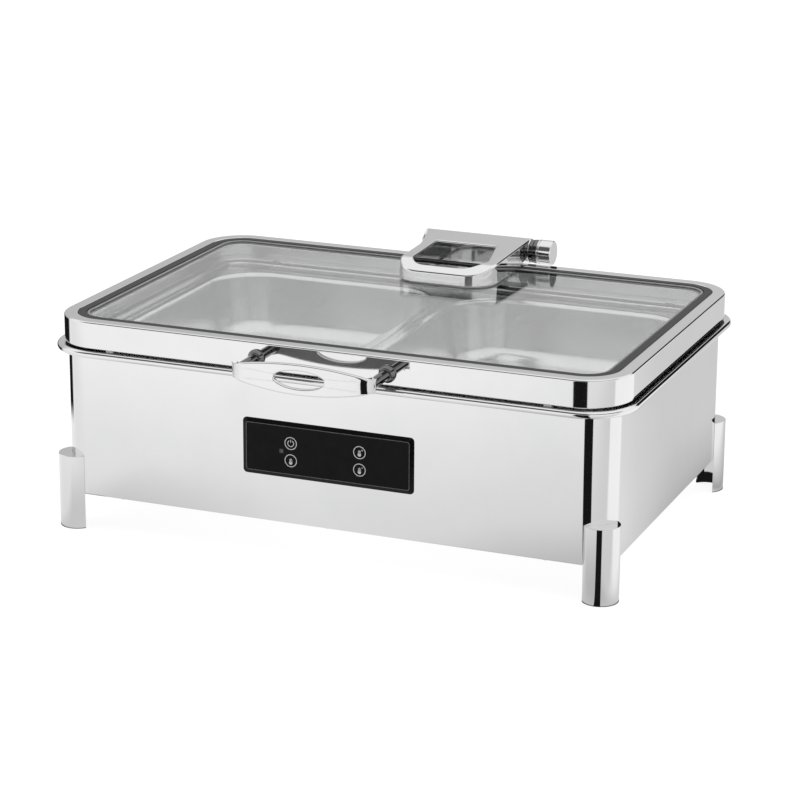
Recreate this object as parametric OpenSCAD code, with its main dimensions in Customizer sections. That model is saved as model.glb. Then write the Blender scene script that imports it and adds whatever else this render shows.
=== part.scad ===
// Electric chafing dish: a polished steel water-bath cabinet on four tube feet, with two lift-out
// food pans, a touch panel on the front and a glass lid on a rear hinge.
// Millimetres. The table is z = 0, the front faces -Y, and the origin is under the middle of the dish.

/* [Food pans] */
// Width of one food pan over its flange
pan_w = 265; // [220:1:300]
// Front to back size of one food pan over its flange
pan_d = 325; // [280:1:360]
// Height of a food pan
pan_h = 65; // [40:1:100]
// Thickness of the pan sheet
pan_t = 1; // [0.6:0.1:1.4]
// Width of a food pan's flange
pan_flange = 9; // [7:0.5:12]
// Height of the flange's turned-down lip
pan_lip = 3.4; // [2.5:0.1:5]
// Corner radius of the flange
pan_r = 12; // [10:0.5:18]
// Corner radius of the bowl
bowl_r = 38; // [20:1:50]
// Gap between the two pans
pan_gap = 1; // [0.5:0.1:3]

/* [Water bath] */
// Water space under the food pans
water_gap = 19; // [12:1:30]
// Width of the pan flange that rests on the water pan
pan_seat = 5; // [4:0.5:6]
// Play between the food pans and the rim, left and right
pan_play_x = 2; // [1.5:0.1:4]
// Play between the food pans and the rim, front and back
pan_play_y = 10; // [6:0.5:14]

/* [Cabinet] */
// Height of the cabinet's underside above the table
ground_gap = 35; // [25:1:45]
// Height of the wiring bay under the heat shield
bay_h = 39.3; // [34:0.1:55]
// Thickness of the cabinet sheet
sheet_t = 1; // [0.8:0.1:1.4]
// Thickness of the bottom plate
bottom_t = 1.2; // [0.8:0.1:2]
// Corner radius of the cabinet
body_r = 28; // [26:1:36]
// Width of the cabinet's top flange
top_flange = 10; // [8:0.5:14]
// Width of the cabinet's bottom flange
bottom_flange = 14; // [12:0.5:20]
// Clearance of sheet parts that slip into each other
sheet_fit = 0.5; // [0.3:0.1:0.8]

/* [Rim] */
// Radius of the rolled bead
bead_r = 3.5; // [3:0.1:4.5]
// Reach of the bead beyond the cabinet wall
bead_over = 14; // [13:0.5:18]
// Outer corner radius of the bead
bead_corner = 50; // [48:1:60]
// Height of the bead above the rim's flat web
bead_proud = 0.5; // [0.3:0.1:1]
// Drop from the web to the pan ledge
step_h = 8.5; // [7:0.5:12]
// Width of the pan ledge
ledge_w = 5; // [4:0.5:5.5]

/* [Feet] */
// Outer radius of a foot tube
foot_r = 17.5; // [15:0.5:20]
// Height of a foot
foot_h = 74; // [68:1:90]
// Wall of a foot tube
foot_t = 1.5; // [1:0.1:2.5]
// Distance of a foot's axis inside the cabinet faces
foot_in = 10.7; // [9:0.1:12]
// Gap between a foot and the cabinet wall
foot_fit = 0.05; // [0.05:0.05:0.2]
// Height of the block in a foot that takes its screws
foot_block_h = 34; // [30:1:36]

/* [Heater] */
// Size of the heater plate, left to right
heater_w = 340; // [280:5:400]
// Size of the heater plate, front to back
heater_d = 200; // [180:5:240]
// Thickness of the heater plate
heater_t = 3; // [2:0.5:5]
// Radius of the tubular element
element_r = 4; // [3:0.25:5]
// Length of the element's straight runs
element_run = 300; // [220:5:320]
// Spacing of the element's runs
element_pitch = 48; // [40:1:56]
// Length of the element's cold ends past the heater plate
element_tail = 22; // [16:1:30]
// Clearance round the element
element_fit = 0.1; // [0.05:0.05:0.3]
// Width of a strap that holds the element
strap_w = 14; // [10:1:20]
// Thickness of a strap
strap_t = 1.5; // [1:0.1:2.5]
// Air gap between the element and the heat shield
shield_gap = 5; // [4:0.5:10]
// Thickness of the heat shield
shield_t = 0.8; // [0.6:0.1:1.2]
// Width of the heat shield's side folds
shield_lip = 4; // [3:0.5:4.5]
// Radius of a heat shield post
post_r = 5; // [4:0.5:7]
// Radius of the temperature sensor
sensor_r = 6; // [5:0.5:8]
// Height of the temperature sensor
sensor_h = 12; // [10:0.5:14]
// Distance of the sensors from the middle
sensor_x = 60; // [50:1:80]

/* [Lid] */
// Reach of the lid beyond the cabinet wall
lid_over = 7.5; // [6:0.5:8.5]
// Gap between the rim and the lid's lower edge
lid_gap = 1.6; // [1.2:0.1:3]
// Height of the lid frame
lid_h = 26.2; // [24:0.2:32]
// Outer corner radius of the lid
lid_r = 46; // [44:1:54]
// Thickness of the lid frame's sheet
lid_t = 1.2; // [0.8:0.1:1.6]
// Width of the frame's top flange
lid_flange = 13; // [11:0.5:16]
// Width of the flange folded in at the lid's lower edge
lid_return = 12; // [10:0.5:13]
// Depth of the glass rebate
rebate_h = 7.2; // [6.6:0.1:9]
// Width of the rebate's ledge
rebate_ledge = 13.5; // [12.5:0.5:16]
// Visible width of the glass seal
seal_w = 11.4; // [10:0.2:12]
// Depth of the seal's face below the flange
seal_low = 0.3; // [0.2:0.1:0.6]
// Gap between the seal and the frame
seal_fit = 0.15; // [0.1:0.05:0.3]
// Thickness of the glass
glass_t = 4; // [3:0.5:5]
// Depth of the glass edge inside the seal
glass_in = 3.3; // [2.5:0.1:5]
// Gap between the glass and the seal
glass_fit = 0.05; // [0.05:0.05:0.1]
// Length of a lid bumper
bumper_l = 8; // [6:0.5:12]
// Depth of a lid bumper
bumper_w = 9.5; // [8.5:0.5:10]
// Radius of the plug that holds a bumper
bumper_plug_r = 2; // [1.6:0.1:2.2]
// Height of the plug's head above the folded flange
bumper_head_h = 1.6; // [1.2:0.1:2.5]
// Gap between a bumper's plug and its hole
bumper_fit = 0.05; // [0.05:0.05:0.15]
// Gap between a bumper and the rim
bumper_gap = 0.1; // [0.05:0.05:0.3]

/* [Handle] */
// Length of the handle plate
handle_l = 144; // [130:1:170]
// Height of the plate at its ends
handle_end_h = 12.4; // [11:0.2:15]
// Height of the plate at its middle
handle_mid_h = 29; // [26:0.5:33]
// Thickness of the plate
handle_t = 5; // [4:0.5:6]
// Outward bow of the plate
handle_bow = 11; // [6:0.5:14]
// Distance from the lid wall to the plate's ends
handle_reach = 36; // [32:1:45]
// Height of the handle above the lid's lower edge
handle_up = 10.8; // [10:0.2:12]
// Distance of a post from the middle
post_x = 66; // [56:0.5:67]
// Radius of a handle post
handle_post_r = 5; // [4:0.25:5.5]
// Radius of a post's collar
collar_r = 8.5; // [7:0.25:9]
// Height of a post's collar
collar_h = 5; // [4:0.5:7]
// Length of the oval in the plate
oval_l = 51; // [40:1:60]
// Height of the oval in the plate
oval_h = 17; // [12:0.5:19]
// Gap where a post meets the plate
handle_fit = 0.05; // [0.05:0.05:0.1]

/* [Hinge] */
// Offset of the hinge arm from the middle
hinge_x = 12; // [0:0.5:30]
// Distance of the hinge axis behind the bead
axis_back = 7; // [6.5:0.1:9]
// Height of the hinge axis above the lid's top
axis_up = 9.8; // [9:0.1:12]
// Radius of the hinge barrel
barrel_r = 13; // [12:0.25:14]
// Radius of the hinge shaft
shaft_r = 4; // [3:0.25:4.5]
// Width of the fixed knuckle
knuckle_w = 50; // [40:1:56]
// Radius of the fixed knuckle
knuckle_r = 9; // [8:0.25:9.5]
// Side gap between the knuckle and the arm
knuckle_gap = 1; // [0.6:0.1:1.5]
// Angle above level where the arm's barrel cover ends
cover_deg = 52; // [48:1:65]
// Wall of a hinge bush
bush_t = 2; // [1.5:0.1:2.5]
// Running clearance of the shaft
shaft_fit = 0.05; // [0.03:0.01:0.08]
// Width of the hinge arm
arm_w = 104; // [94:1:112]
// Distance of the arm's front edge from the hinge axis
arm_l = 130; // [124:1:140]
// Height of the arm's sides
arm_h = 19.5; // [17:0.5:21]
// Height of the arm's front edge
arm_front_h = 11; // [10:0.5:14]
// Length of the arm's sloping front
arm_slope = 21; // [16:1:28]
// Corner radius of the arm's front
arm_r = 27; // [18:1:30]
// Width of the arm's front band
band_front = 12; // [11:0.5:16]
// Width of the arm's side bands
band_side = 13.5; // [11:0.5:16]
// Length of the arm's window
window_l = 79; // [70:1:82]
// Corner radius of the arm's window
window_r = 20; // [12:1:26]
// How far the window's right side draws in toward the back
window_taper = 12; // [0:1:16]
// Length of the flare at the arm's left rear
flare_l = 50; // [30:1:60]
// Length of the arm that lies on the glass
arm_seat = 70; // [60:1:72]
// Thickness of the pad under the arm
arm_pad_t = 1.5; // [1:0.1:1.8]
// Inset of the pad and the clamp plate from the arm's edges
arm_inset = 2; // [1.5:0.1:2.5]
// Thickness of the clamp plate under the glass
clamp_t = 2; // [1.5:0.1:3]
// Length of the barrel past the arm's left side
barrel_left = 13.5; // [8:0.5:20]
// Length of the hinge's end cap
cap_l = 15.5; // [15:0.5:24]
// Thickness of a friction washer
washer_t = 4; // [3:0.2:6]
// Gap beside each friction washer
washer_gap = 0.15; // [0.1:0.05:0.3]
// Width of the hinge's wall plate
base_w = 82; // [76:1:100]
// Height of the hinge's wall plate
base_h = 54; // [46:1:60]
// Thickness of the hinge's wall plate
base_t = 4; // [3:0.5:6]
// Gap between the hinge neck and the bead
neck_gap = 1.3; // [1:0.1:2]
// Thickness of the hinge neck
neck_t = 11.4; // [10:0.2:12]
// Drop from the bead to the top of the wall plate
base_drop = 5; // [3:0.5:10]
// Thickness of the backing plate inside the cabinet
backing_t = 2.5; // [2:0.5:4]

/* [Control panel] */
// Width of the panel
panel_w = 174; // [150:1:190]
// Height of the panel
panel_h = 55; // [50:1:60]
// Corner radius of the panel
panel_r = 4; // [2:0.5:6]
// Offset of the panel from the middle, to the right
panel_x = 3; // [-20:0.5:20]
// Height of the panel's middle above the cabinet's underside
panel_up = 73.5; // [66:0.5:80]
// Reach of the bezel in front of the cabinet
bezel_proud = 2.2; // [2:0.1:3]
// Width of the bezel's visible frame
bezel_frame = 4.5; // [3.5:0.1:6]
// Overlap of the bezel on the cabinet wall
bezel_lap = 3; // [2:0.25:4]
// Depth of the bezel's box inside the cabinet
bezel_depth = 9; // [8:0.5:12]
// Thickness of the panel glass
cover_t = 1.5; // [1:0.1:1.8]
// Thickness of the wall behind the panel glass
web_t = 1.5; // [1:0.1:2]
// Radius of a touch pad
pad_r = 6.6; // [5:0.2:7]
// Distance of the touch pads from their middle
pad_x = 35; // [30:0.5:40]
// Offset of the touch pads from the panel's middle, to the left
pad_left = 2; // [0:0.5:6]
// Drop of the touch pads below the panel's middle
pad_low = 1.3; // [0:0.1:2]
// Spacing of the touch pads, up and down
pad_pitch = 17; // [15:0.5:19]
// Thickness of a touch pad
pad_t = 1.5; // [1:0.1:2]
// Size of the indicator lamp
led_size = 4; // [3:0.25:5]
// Thickness of a circuit board
board_t = 1.6; // [1:0.1:2]
// Gap round fitted panel parts
panel_fit = 0.1; // [0.05:0.05:0.2]

/* [Power inlet] */
// Place of the inlet, from the middle to the right
inlet_x = 150; // [110:1:200]
// Width of the inlet's opening
inlet_w = 24.5; // [24:0.1:26]
// Height of the inlet's opening
inlet_h = 16.9; // [16:0.1:18]
// Depth of the inlet's opening
inlet_depth = 17; // [15:0.5:19]
// Wall of the inlet
inlet_t = 1.8; // [1.4:0.1:2.4]
// Thickness of the inlet's flange
inlet_flange_t = 3; // [2:0.5:4]
// Distance between the inlet's screws
inlet_pitch = 40; // [38:0.5:44]

/* [Screws] */
// Radius of the small screws
screw_r = 1.5; // [1.25:0.05:1.7]
// Radius of the large screws
bolt_r = 2; // [1.75:0.05:2.4]
// Gap round a screw in its hole
screw_gap = 0.25; // [0.15:0.05:0.35]
// Gap round a screw in its thread
thread_gap = 0.05; // [0.03:0.01:0.08]

/* [Hidden] */
$fn = 72;

steel = [0.80, 0.81, 0.82];
satin = [0.70, 0.71, 0.72];
grey = [0.38, 0.39, 0.40];
black = [0.05, 0.05, 0.06];
clear = [0.80, 0.90, 0.92, 0.35];
board_green = [0.08, 0.35, 0.20];
brass = [0.78, 0.62, 0.28];
copper = [0.72, 0.42, 0.25];
red = [0.65, 0.12, 0.10];
brown = [0.35, 0.25, 0.15];
ivory = [0.85, 0.84, 0.78];

// Cuts run this far past the faces they open
past = 1;

// Heights, from the table up
z_body = ground_gap;
z_floor = z_body + sheet_t + bottom_t;
z_shield = z_floor + bay_h;
z_element = z_shield + shield_t + shield_gap + strap_t + element_fit + element_r;
z_heater = z_element + element_r + element_fit;
z_bath = z_heater + heater_t;
z_pan = z_bath + pan_t + water_gap;
z_pan_top = z_pan + pan_h;
z_ledge = z_pan_top - pan_lip - pan_t;
z_web = z_ledge + step_h;
z_rim = z_web + bead_proud;
z_bead = z_rim - bead_r;
z_lid = z_rim + lid_gap;
z_lid_top = z_lid + lid_h;

// Cabinet, from the pans outwards
recess_w = 2 * pan_w + pan_gap + 2 * pan_play_x;
recess_d = pan_d + 2 * pan_play_y;
rim_side = sheet_t + sheet_fit + top_flange + sheet_t;
body_w = recess_w + 2 * rim_side;
body_d = recess_d + 2 * rim_side;
bead_w = body_w + 2 * bead_over;
bead_d = body_d + 2 * bead_over;
recess_s = bead_over + rim_side;
recess_r = bead_corner - recess_s;
bath_w = 2 * pan_w + pan_gap - 2 * pan_seat;
bath_d = pan_d - 2 * pan_seat;
bath_r = recess_r - pan_play_x - pan_seat + pan_r;
panel_z = z_body + panel_up;
front_y = -body_d / 2;
rear_y = body_d / 2;
plate_screw_x = body_w / 2 - sheet_t - bottom_flange / 2;
plate_screw_y = body_d / 2 - sheet_t - bottom_flange / 2;
vent_w = 3;
vent_r = 1.25;
vent_l = 44;
vent_rows = 7;
vent_pitch = 9;
vent_x = 120;
vent_back = 110;

// Feet
foot_x = body_w / 2 - foot_in;
foot_y = body_d / 2 - foot_in;
foot_block_z = z_body + sheet_t + sheet_fit;
foot_screw_dz = foot_block_h / 4;
foot_corner = body_r - foot_in;
foot_end_wall = 2;
foot_screw_end = 1;
foot_screw_l = foot_corner * sqrt(2) + foot_r - foot_t - body_r - foot_fit - foot_end_wall;

// Heater
run_count = 4;
element_side = (run_count - 1) * element_pitch / 2;
heater_r = 20;
strap_in = 40;
strap_x = element_run / 2 - strap_in;
strap_foot = 8;
shield_over = 20;
shield_w = heater_w;
shield_d = heater_d + 2 * shield_over;
shield_post_x = shield_w / 2 - 3 * post_r;
shield_post_y = shield_d / 2 - 3 * post_r;

// Lid
lid_w = body_w + 2 * lid_over;
lid_d = body_d + 2 * lid_over;
z_rebate = z_lid_top - rebate_h;
z_seal_top = z_lid_top - seal_low;
seal_s = lid_flange + seal_fit;
seal_lip = (z_seal_top - z_rebate - glass_t - 2 * glass_fit) / 2;
z_glass = z_rebate + seal_lip + glass_fit;
z_glass_top = z_glass + glass_t;
glass_s = seal_s + glass_in;
bumper_x = lid_w / 2 - 1.45 * lid_r;
bumper_y = bumper_w / 2 - lid_d / 2;
bumper_head = 1;

// Handle
handle_z = z_lid + handle_up;
handle_in_r = (pow(handle_l / 2, 2) + pow(handle_bow, 2)) / (2 * handle_bow);
handle_cy = handle_in_r - lid_d / 2 - handle_reach - handle_bow;
edge_rise = (handle_mid_h - handle_end_h) / 2;
edge_r = (pow(handle_l / 2, 2) + pow(edge_rise, 2)) / (2 * edge_rise);
handle_screw_l = 16;
oval_steps = 48;
collar_lip = 1;

// Hinge
axis_y = bead_d / 2 + axis_back;
axis_z = z_lid_top + axis_up;
arm_x0 = hinge_x - arm_w / 2;
arm_x1 = hinge_x + arm_w / 2;
arm_y = axis_y - arm_l;
z_arm = z_glass_top + arm_pad_t;
cheek_w = arm_w / 2 - knuckle_w / 2 - knuckle_gap;
bush_r = shaft_r + shaft_fit + bush_t;
cover_room = 1;
washer_x = arm_x1 + washer_gap;
cap_x = washer_x + 2 * (washer_t + washer_gap);
shaft_head_r = 7;
shaft_head_t = 2.5;
barrel_x0 = arm_x0 - barrel_left;
shaft_x0 = barrel_x0 - washer_gap;
cap_wall = 4;
shaft_x1 = cap_x + cap_l - cap_wall;
groove_at = 3;
groove_w = 0.8;
groove_depth = 0.6;
cap_edge = 1.2;
set_gap = 0.2;
washer_in = 1;
washer_step = 0.5;
under_rise = 3.6;
under_gap = 4;
under_y = lid_d / 2 - seal_s - seal_w - under_gap;
neck_y = bead_d / 2 + neck_gap;
neck_foot = 26;
base_z1 = z_bead - bead_r - base_drop;
base_z0 = base_z1 - base_h;
base_screw_in = 8;
base_screw_x = base_w / 2 - base_screw_in;
base_screw_z = base_h / 2 - base_screw_in;
window_y = arm_y + band_front;
arm_screw_y = arm_y + band_front / 2;
arm_screw_x = arm_w / 2 - arm_r - bolt_r;
arm_side_in = 22;
arm_side_y = arm_y + arm_seat - arm_side_in;
arm_side_x = arm_w / 2 - band_side / 2;
arm_screw_depth = 8;
arm_screw_end = 1;

// Panel
cut_w = panel_w - 2 * bezel_lap;
cut_h = panel_h - 2 * bezel_lap;
cover_w = panel_w - 2 * bezel_frame;
cover_h = panel_h - 2 * bezel_frame;
box_wall = 2;
room_w = cut_w - 2 * box_wall - 2 * panel_fit;
room_h = cut_h - 2 * box_wall - 2 * panel_fit;
web_y = front_y - bezel_proud + cover_t;
room_y = web_y + web_t;
board_y = room_y + pad_t;
board_play = 1;
board_w = room_w - 2 * board_play;
board_h = room_h - 2 * board_play;
board_screw_in = 4;
board_screw_x = board_w / 2 - board_screw_in;
board_screw_z = board_h / 2 - board_screw_in;
board_screw_end = 0.2;
board_boss_r = 3;
led_gap = 1;
led_x = -pad_left - pad_x - pad_r - led_size / 2 - led_gap;
retainer_lap = 4;
retainer_t = 2;

// Inlet
inlet_up = 9;
inlet_z = z_floor + inlet_h / 2 + inlet_up;
inlet_out_w = inlet_w + 2 * inlet_t;
inlet_out_h = inlet_h + 2 * inlet_t;
inlet_ear = 5;
inlet_flange_w = inlet_pitch + 2 * inlet_ear;
inlet_floor = 3;
inlet_back = inlet_depth - inlet_flange_t + inlet_floor;
pin_low = 5;
pin_l = inlet_depth - pin_low;
inlet_screw_out = 3;
pin_tab = 8;
pin_w = 2;
pin_h = 4;
pin_pitch = 7;
tab_y = rear_y - inlet_back - pin_tab;

// Wiring bay
power_side = 140;
power_x = power_side - body_w / 2;
power_y = -20;
power_w = 130;
power_d = 84;
power_post_h = 6;
power_post_r = 3.5;
z_power = z_floor + power_post_h + board_t;
relay = [28, 22, 20];
relay_in = 40;
relay_x = power_x - relay_in;
supply = [52, 40, 24];
supply_in = 26;
supply_x = power_x + supply_in;
block = [46, 20, 18];
block_in = 60;
block_x = inlet_x - block_in;
block_back = 115;
block_y = rear_y - block_back;
block_pole = 11;
pole_count = 4;
block_wire_z = z_floor + block[2] / 3;
wire_r = 1.5;
cable_r = 2.5;
wire_sides = 8;
wire_ref = [0.31, 0.62, 0.72];
wire_drop = 12;
lead_lanes = [8, 2];
cable_in = 20;
cable_up = 8;
cable_lift = 2;

// Everything is drawn about the cabinet's middle, then moved so that the origin is under the whole
front_reach = lid_d / 2 + handle_reach + handle_bow + handle_t;
back_reach = axis_y + barrel_r;
y_shift = (front_reach - back_reach) / 2;

module placed() {
    translate([0, y_shift, 0])
        children();
}

// Flat rounded rectangle about the origin
module round_rect(w, d, r) {
    square([w - 2 * r, d], center = true);
    square([w, d - 2 * r], center = true);
    for (sx = [-1, 1], sy = [-1, 1])
        translate([sx * (w / 2 - r), sy * (d / 2 - r)])
            circle(r = r);
}

// Upright rounded block from height z0 to z1
module slab(w, d, r, z0, z1) {
    translate([0, 0, z0])
        linear_extrude(z1 - z0)
            round_rect(w, d, r);
}

// Upright rounded frame: the block w by d with its wall t kept
module frame(w, d, r, t, z0, z1) {
    translate([0, 0, z0])
        linear_extrude(z1 - z0)
            difference() {
                round_rect(w, d, r);
                round_rect(w - 2 * t, d - 2 * t, r - t);
            }
}

// Sweeps a profile round a rounded rectangle: profile x points outwards, profile y is the height
module ring_sweep(w, d, r) {
    for (k = [0:3]) {
        side = k % 2 == 0 ? w / 2 : d / 2;
        run = k % 2 == 0 ? d - 2 * r : w - 2 * r;
        rotate([0, 0, 90 * k]) {
            translate([side, 0, 0])
                rotate([90, 0, 0])
                    linear_extrude(run, center = true)
                        children();
            translate([side - r, run / 2, 0])
                rotate_extrude(angle = 90)
                    translate([r, 0])
                        children();
        }
    }
}

// Rectangle of a profile, from one corner to the other
module band(s0, s1, z0, z1) {
    translate([s0, z0])
        square([s1 - s0, z1 - z0]);
}

// Rounded plate standing in the plane of the front, from depth y0 to y1
module front_plate(w, h, r, y0, y1) {
    translate([0, y1, 0])
        rotate([90, 0, 0])
            linear_extrude(y1 - y0)
                round_rect(w, h, r);
}

// Round bar along X
module bar_x(r, x0, x1) {
    translate([x0, 0, 0])
        rotate([0, 90, 0])
            cylinder(r = r, h = x1 - x0);
}

// Screw along +Z with its head below z = 0
module screw(r, l) {
    head_r = 1.8 * r;
    head_h = 1.2 * r;
    cylinder(r = r, h = l);
    translate([0, 0, -head_h])
        difference() {
            cylinder(r = head_r, h = head_h);
            translate([0, 0, -past])
                cylinder(r = r, h = head_h / 2 + past, $fn = 6);
        }
}

function unit(v) = v / norm(v);
function step_dir(p, i) = unit(p[i + 1] - p[i]);
function way(p, i) =
    i == 0 ? step_dir(p, 0) :
    i == len(p) - 1 ? step_dir(p, i - 1) :
    unit(step_dir(p, i - 1) + step_dir(p, i));
function wire_ring(c, t, r) =
    let (a = unit(cross(t, wire_ref)), b = cross(t, a))
    [for (k = [0:wire_sides - 1])
        c + r * (cos(360 * k / wire_sides) * a + sin(360 * k / wire_sides) * b)];

// Round lead that follows a list of points
module lead(p, r) {
    n = wire_sides;
    last = (len(p) - 1) * n;
    rings = [for (i = [0:len(p) - 1]) each wire_ring(p[i], way(p, i), r)];
    skin = [for (i = [0:len(p) - 2], k = [0:n - 1])
        let (a = i * n + k, b = i * n + (k + 1) % n)
        each [[a, a + n, b], [b, a + n, b + n]]];
    start = [for (k = [1:n - 2]) [0, k, k + 1]];
    end = [for (k = [1:n - 2]) [last, last + k + 1, last + k]];
    polyhedron(points = rings, faces = concat(skin, start, end));
}

// Cabinet

module body_outline(gap) {
    round_rect(body_w + 2 * gap, body_d + 2 * gap, body_r + gap);
}

module each_corner() {
    for (sx = [-1, 1], sy = [-1, 1])
        to_corner(sx, sy)
            children();
}

// Turns what is drawn for the rear right corner to another corner
module to_corner(sx, sy) {
    mirror([sx < 0 ? 1 : 0, 0, 0])
        mirror([0, sy < 0 ? 1 : 0, 0])
            children();
}

// Places along the diagonal of the rear right corner, out from the corner's centre
module at_foot_screws() {
    for (dz = [-1, 1])
        translate([body_w / 2 - body_r, body_d / 2 - body_r,
                   foot_block_z + foot_block_h / 2 + dz * foot_screw_dz])
            rotate([0, 0, 45])
                rotate([0, 90, 0])
                    children();
}

module at_plate_screws() {
    for (sx = [-1, 0, 1], sy = [-1, 1])
        translate([sx * (body_w / 2 - 2 * foot_r - body_r), sy * plate_screw_y, z_body])
            children();
    for (sx = [-1, 1])
        translate([sx * plate_screw_x, 0, z_body])
            children();
}

module at_base_screws() {
    for (sx = [-1, 1], sz = [-1, 1])
        translate([hinge_x + sx * base_screw_x, rear_y, (base_z0 + base_z1) / 2 + sz * base_screw_z])
            rotate([90, 0, 0])
                children();
}

module at_inlet_screws() {
    for (sx = [-1, 1])
        translate([inlet_x + sx * inlet_pitch / 2, rear_y + inlet_flange_t, inlet_z])
            rotate([90, 0, 0])
                children();
}

module body_shell() {
    color(steel)
        difference() {
            union() {
                frame(body_w, body_d, body_r, sheet_t, z_body, z_web - sheet_t);
                frame(body_w, body_d, body_r, sheet_t + bottom_flange, z_body, z_body + sheet_t);
                frame(body_w, body_d, body_r, sheet_t + top_flange,
                      z_web - 2 * sheet_t, z_web - sheet_t);
            }
            at_panel()
                front_plate(cut_w, cut_h, panel_r, front_y - past, front_y + sheet_t + past);
            translate([inlet_x, 0, inlet_z])
                front_plate(inlet_out_w + 2 * sheet_fit, inlet_out_h + 2 * sheet_fit, inlet_t,
                            rear_y - sheet_t - past, rear_y + past);
            at_inlet_screws()
                cylinder(r = screw_r + screw_gap, h = inlet_flange_t + sheet_t + past);
            at_base_screws()
                translate([0, 0, -past])
                    cylinder(r = bolt_r + screw_gap, h = sheet_t + 2 * past);
            at_plate_screws()
                translate([0, 0, -past])
                    cylinder(r = screw_r + screw_gap, h = sheet_t + 2 * past);
            each_corner()
                at_foot_screws()
                    translate([0, 0, body_r - sheet_t - past])
                        cylinder(r = bolt_r + screw_gap, h = sheet_t + 2 * past);
        }
}

module rim_profile() {
    difference() {
        translate([-bead_r, z_bead])
            circle(r = bead_r);
        translate([-bead_r, z_bead])
            circle(r = bead_r - sheet_t);
        band(-2 * bead_r - past, -bead_r - sheet_t / 2, z_bead - sheet_t, z_web - sheet_t);
    }
    band(-recess_s, -bead_r, z_web - sheet_t, z_web);
    band(-recess_s, -recess_s + sheet_t, z_ledge - sheet_t, z_web);
    band(-recess_s - ledge_w, -recess_s + sheet_t, z_ledge - sheet_t, z_ledge);
}

module body_rim() {
    color(steel)
        ring_sweep(bead_w, bead_d, bead_corner)
            rim_profile();
}

module bottom_plate() {
    plate_in = sheet_t + sheet_fit;
    color(satin)
        difference() {
            slab(body_w - 2 * plate_in, body_d - 2 * plate_in, body_r - plate_in,
                 z_body + sheet_t, z_floor);
            at_plate_screws()
                cylinder(r = screw_r + thread_gap, h = sheet_t + bottom_t + past);
            for (sx = [-1, 1], k = [0:vent_rows - 1])
                translate([sx * vent_x, rear_y - vent_back - k * vent_pitch, 0])
                    slab(vent_l, vent_w, vent_r, z_body, z_floor + past);
        }
}

module bottom_plate_screws() {
    color(grey)
        at_plate_screws()
            screw(screw_r, sheet_t + bottom_t);
}

// Foot of the rear right corner: an open tube shell with a cap and a screw block
module foot_shape() {
    difference() {
        translate([foot_x, foot_y, 0])
            union() {
                difference() {
                    cylinder(r = foot_r, h = foot_h);
                    translate([0, 0, -past])
                        cylinder(r = foot_r - foot_t, h = foot_h - foot_t + past);
                }
                translate([0, 0, foot_block_z])
                    cylinder(r = foot_r - foot_t / 2, h = foot_block_h);
            }
        translate([0, 0, -past])
            linear_extrude(foot_h + 2 * past)
                body_outline(foot_fit);
        at_foot_screws()
            cylinder(r = bolt_r + thread_gap, h = body_r + foot_fit + foot_screw_l);
    }
}

module foot_front_left() {
    color(steel)
        to_corner(-1, -1)
            foot_shape();
}

module foot_front_right() {
    color(steel)
        to_corner(1, -1)
            foot_shape();
}

module foot_rear_left() {
    color(steel)
        to_corner(-1, 1)
            foot_shape();
}

module foot_rear_right() {
    color(steel)
        to_corner(1, 1)
            foot_shape();
}

// The washer of each foot screw lies in the round corner, so its seat is cut to the corner's radius
module foot_screws() {
    color(grey)
        each_corner()
            intersection() {
                at_foot_screws()
                    translate([0, 0, body_r - sheet_t])
                        screw(bolt_r, sheet_t + foot_screw_l - foot_screw_end);
                union() {
                    slab(body_w - 2 * sheet_t, body_d - 2 * sheet_t, body_r - sheet_t, 0, foot_h);
                    at_foot_screws()
                        cylinder(r = bolt_r, h = body_r + foot_r);
                }
            }
}

// Pans

module water_pan() {
    flange_in = sheet_fit;
    color(satin)
        difference() {
            union() {
                slab(recess_w - 2 * flange_in, recess_d - 2 * flange_in, recess_r - flange_in,
                     z_ledge, z_ledge + pan_t);
                slab(bath_w + 2 * pan_t, bath_d + 2 * pan_t, bath_r + pan_t, z_bath, z_ledge + pan_t);
            }
            slab(bath_w, bath_d, bath_r, z_bath + pan_t, z_ledge + pan_t + past);
        }
}

module food_pan() {
    bowl_w = pan_w - 2 * pan_flange;
    bowl_d = pan_d - 2 * pan_flange;
    difference() {
        union() {
            slab(pan_w, pan_d, pan_r, z_pan_top - pan_lip, z_pan_top);
            slab(bowl_w + 2 * pan_t, bowl_d + 2 * pan_t, bowl_r + pan_t, z_pan, z_pan_top);
        }
        difference() {
            slab(pan_w - 2 * pan_t, pan_d - 2 * pan_t, pan_r - pan_t,
                 z_pan_top - pan_lip - past, z_pan_top - pan_t);
            slab(bowl_w + 2 * pan_t, bowl_d + 2 * pan_t, bowl_r + pan_t, z_pan, z_pan_top);
        }
        slab(bowl_w, bowl_d, bowl_r, z_pan + pan_t, z_pan_top + past);
    }
}

module food_pan_left() {
    color(satin)
        translate([-(pan_w + pan_gap) / 2, 0, 0])
            food_pan();
}

module food_pan_right() {
    color(satin)
        translate([(pan_w + pan_gap) / 2, 0, 0])
            food_pan();
}

// Heater

module heater_plate() {
    color(satin)
        difference() {
            slab(heater_w, heater_d, heater_r, z_heater, z_bath);
            for (sx = [-1, 1])
                translate([sx * sensor_x, 0, z_heater - past])
                    cylinder(r = sensor_r + 2 * sheet_fit, h = heater_t + 2 * past);
        }
}

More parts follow.
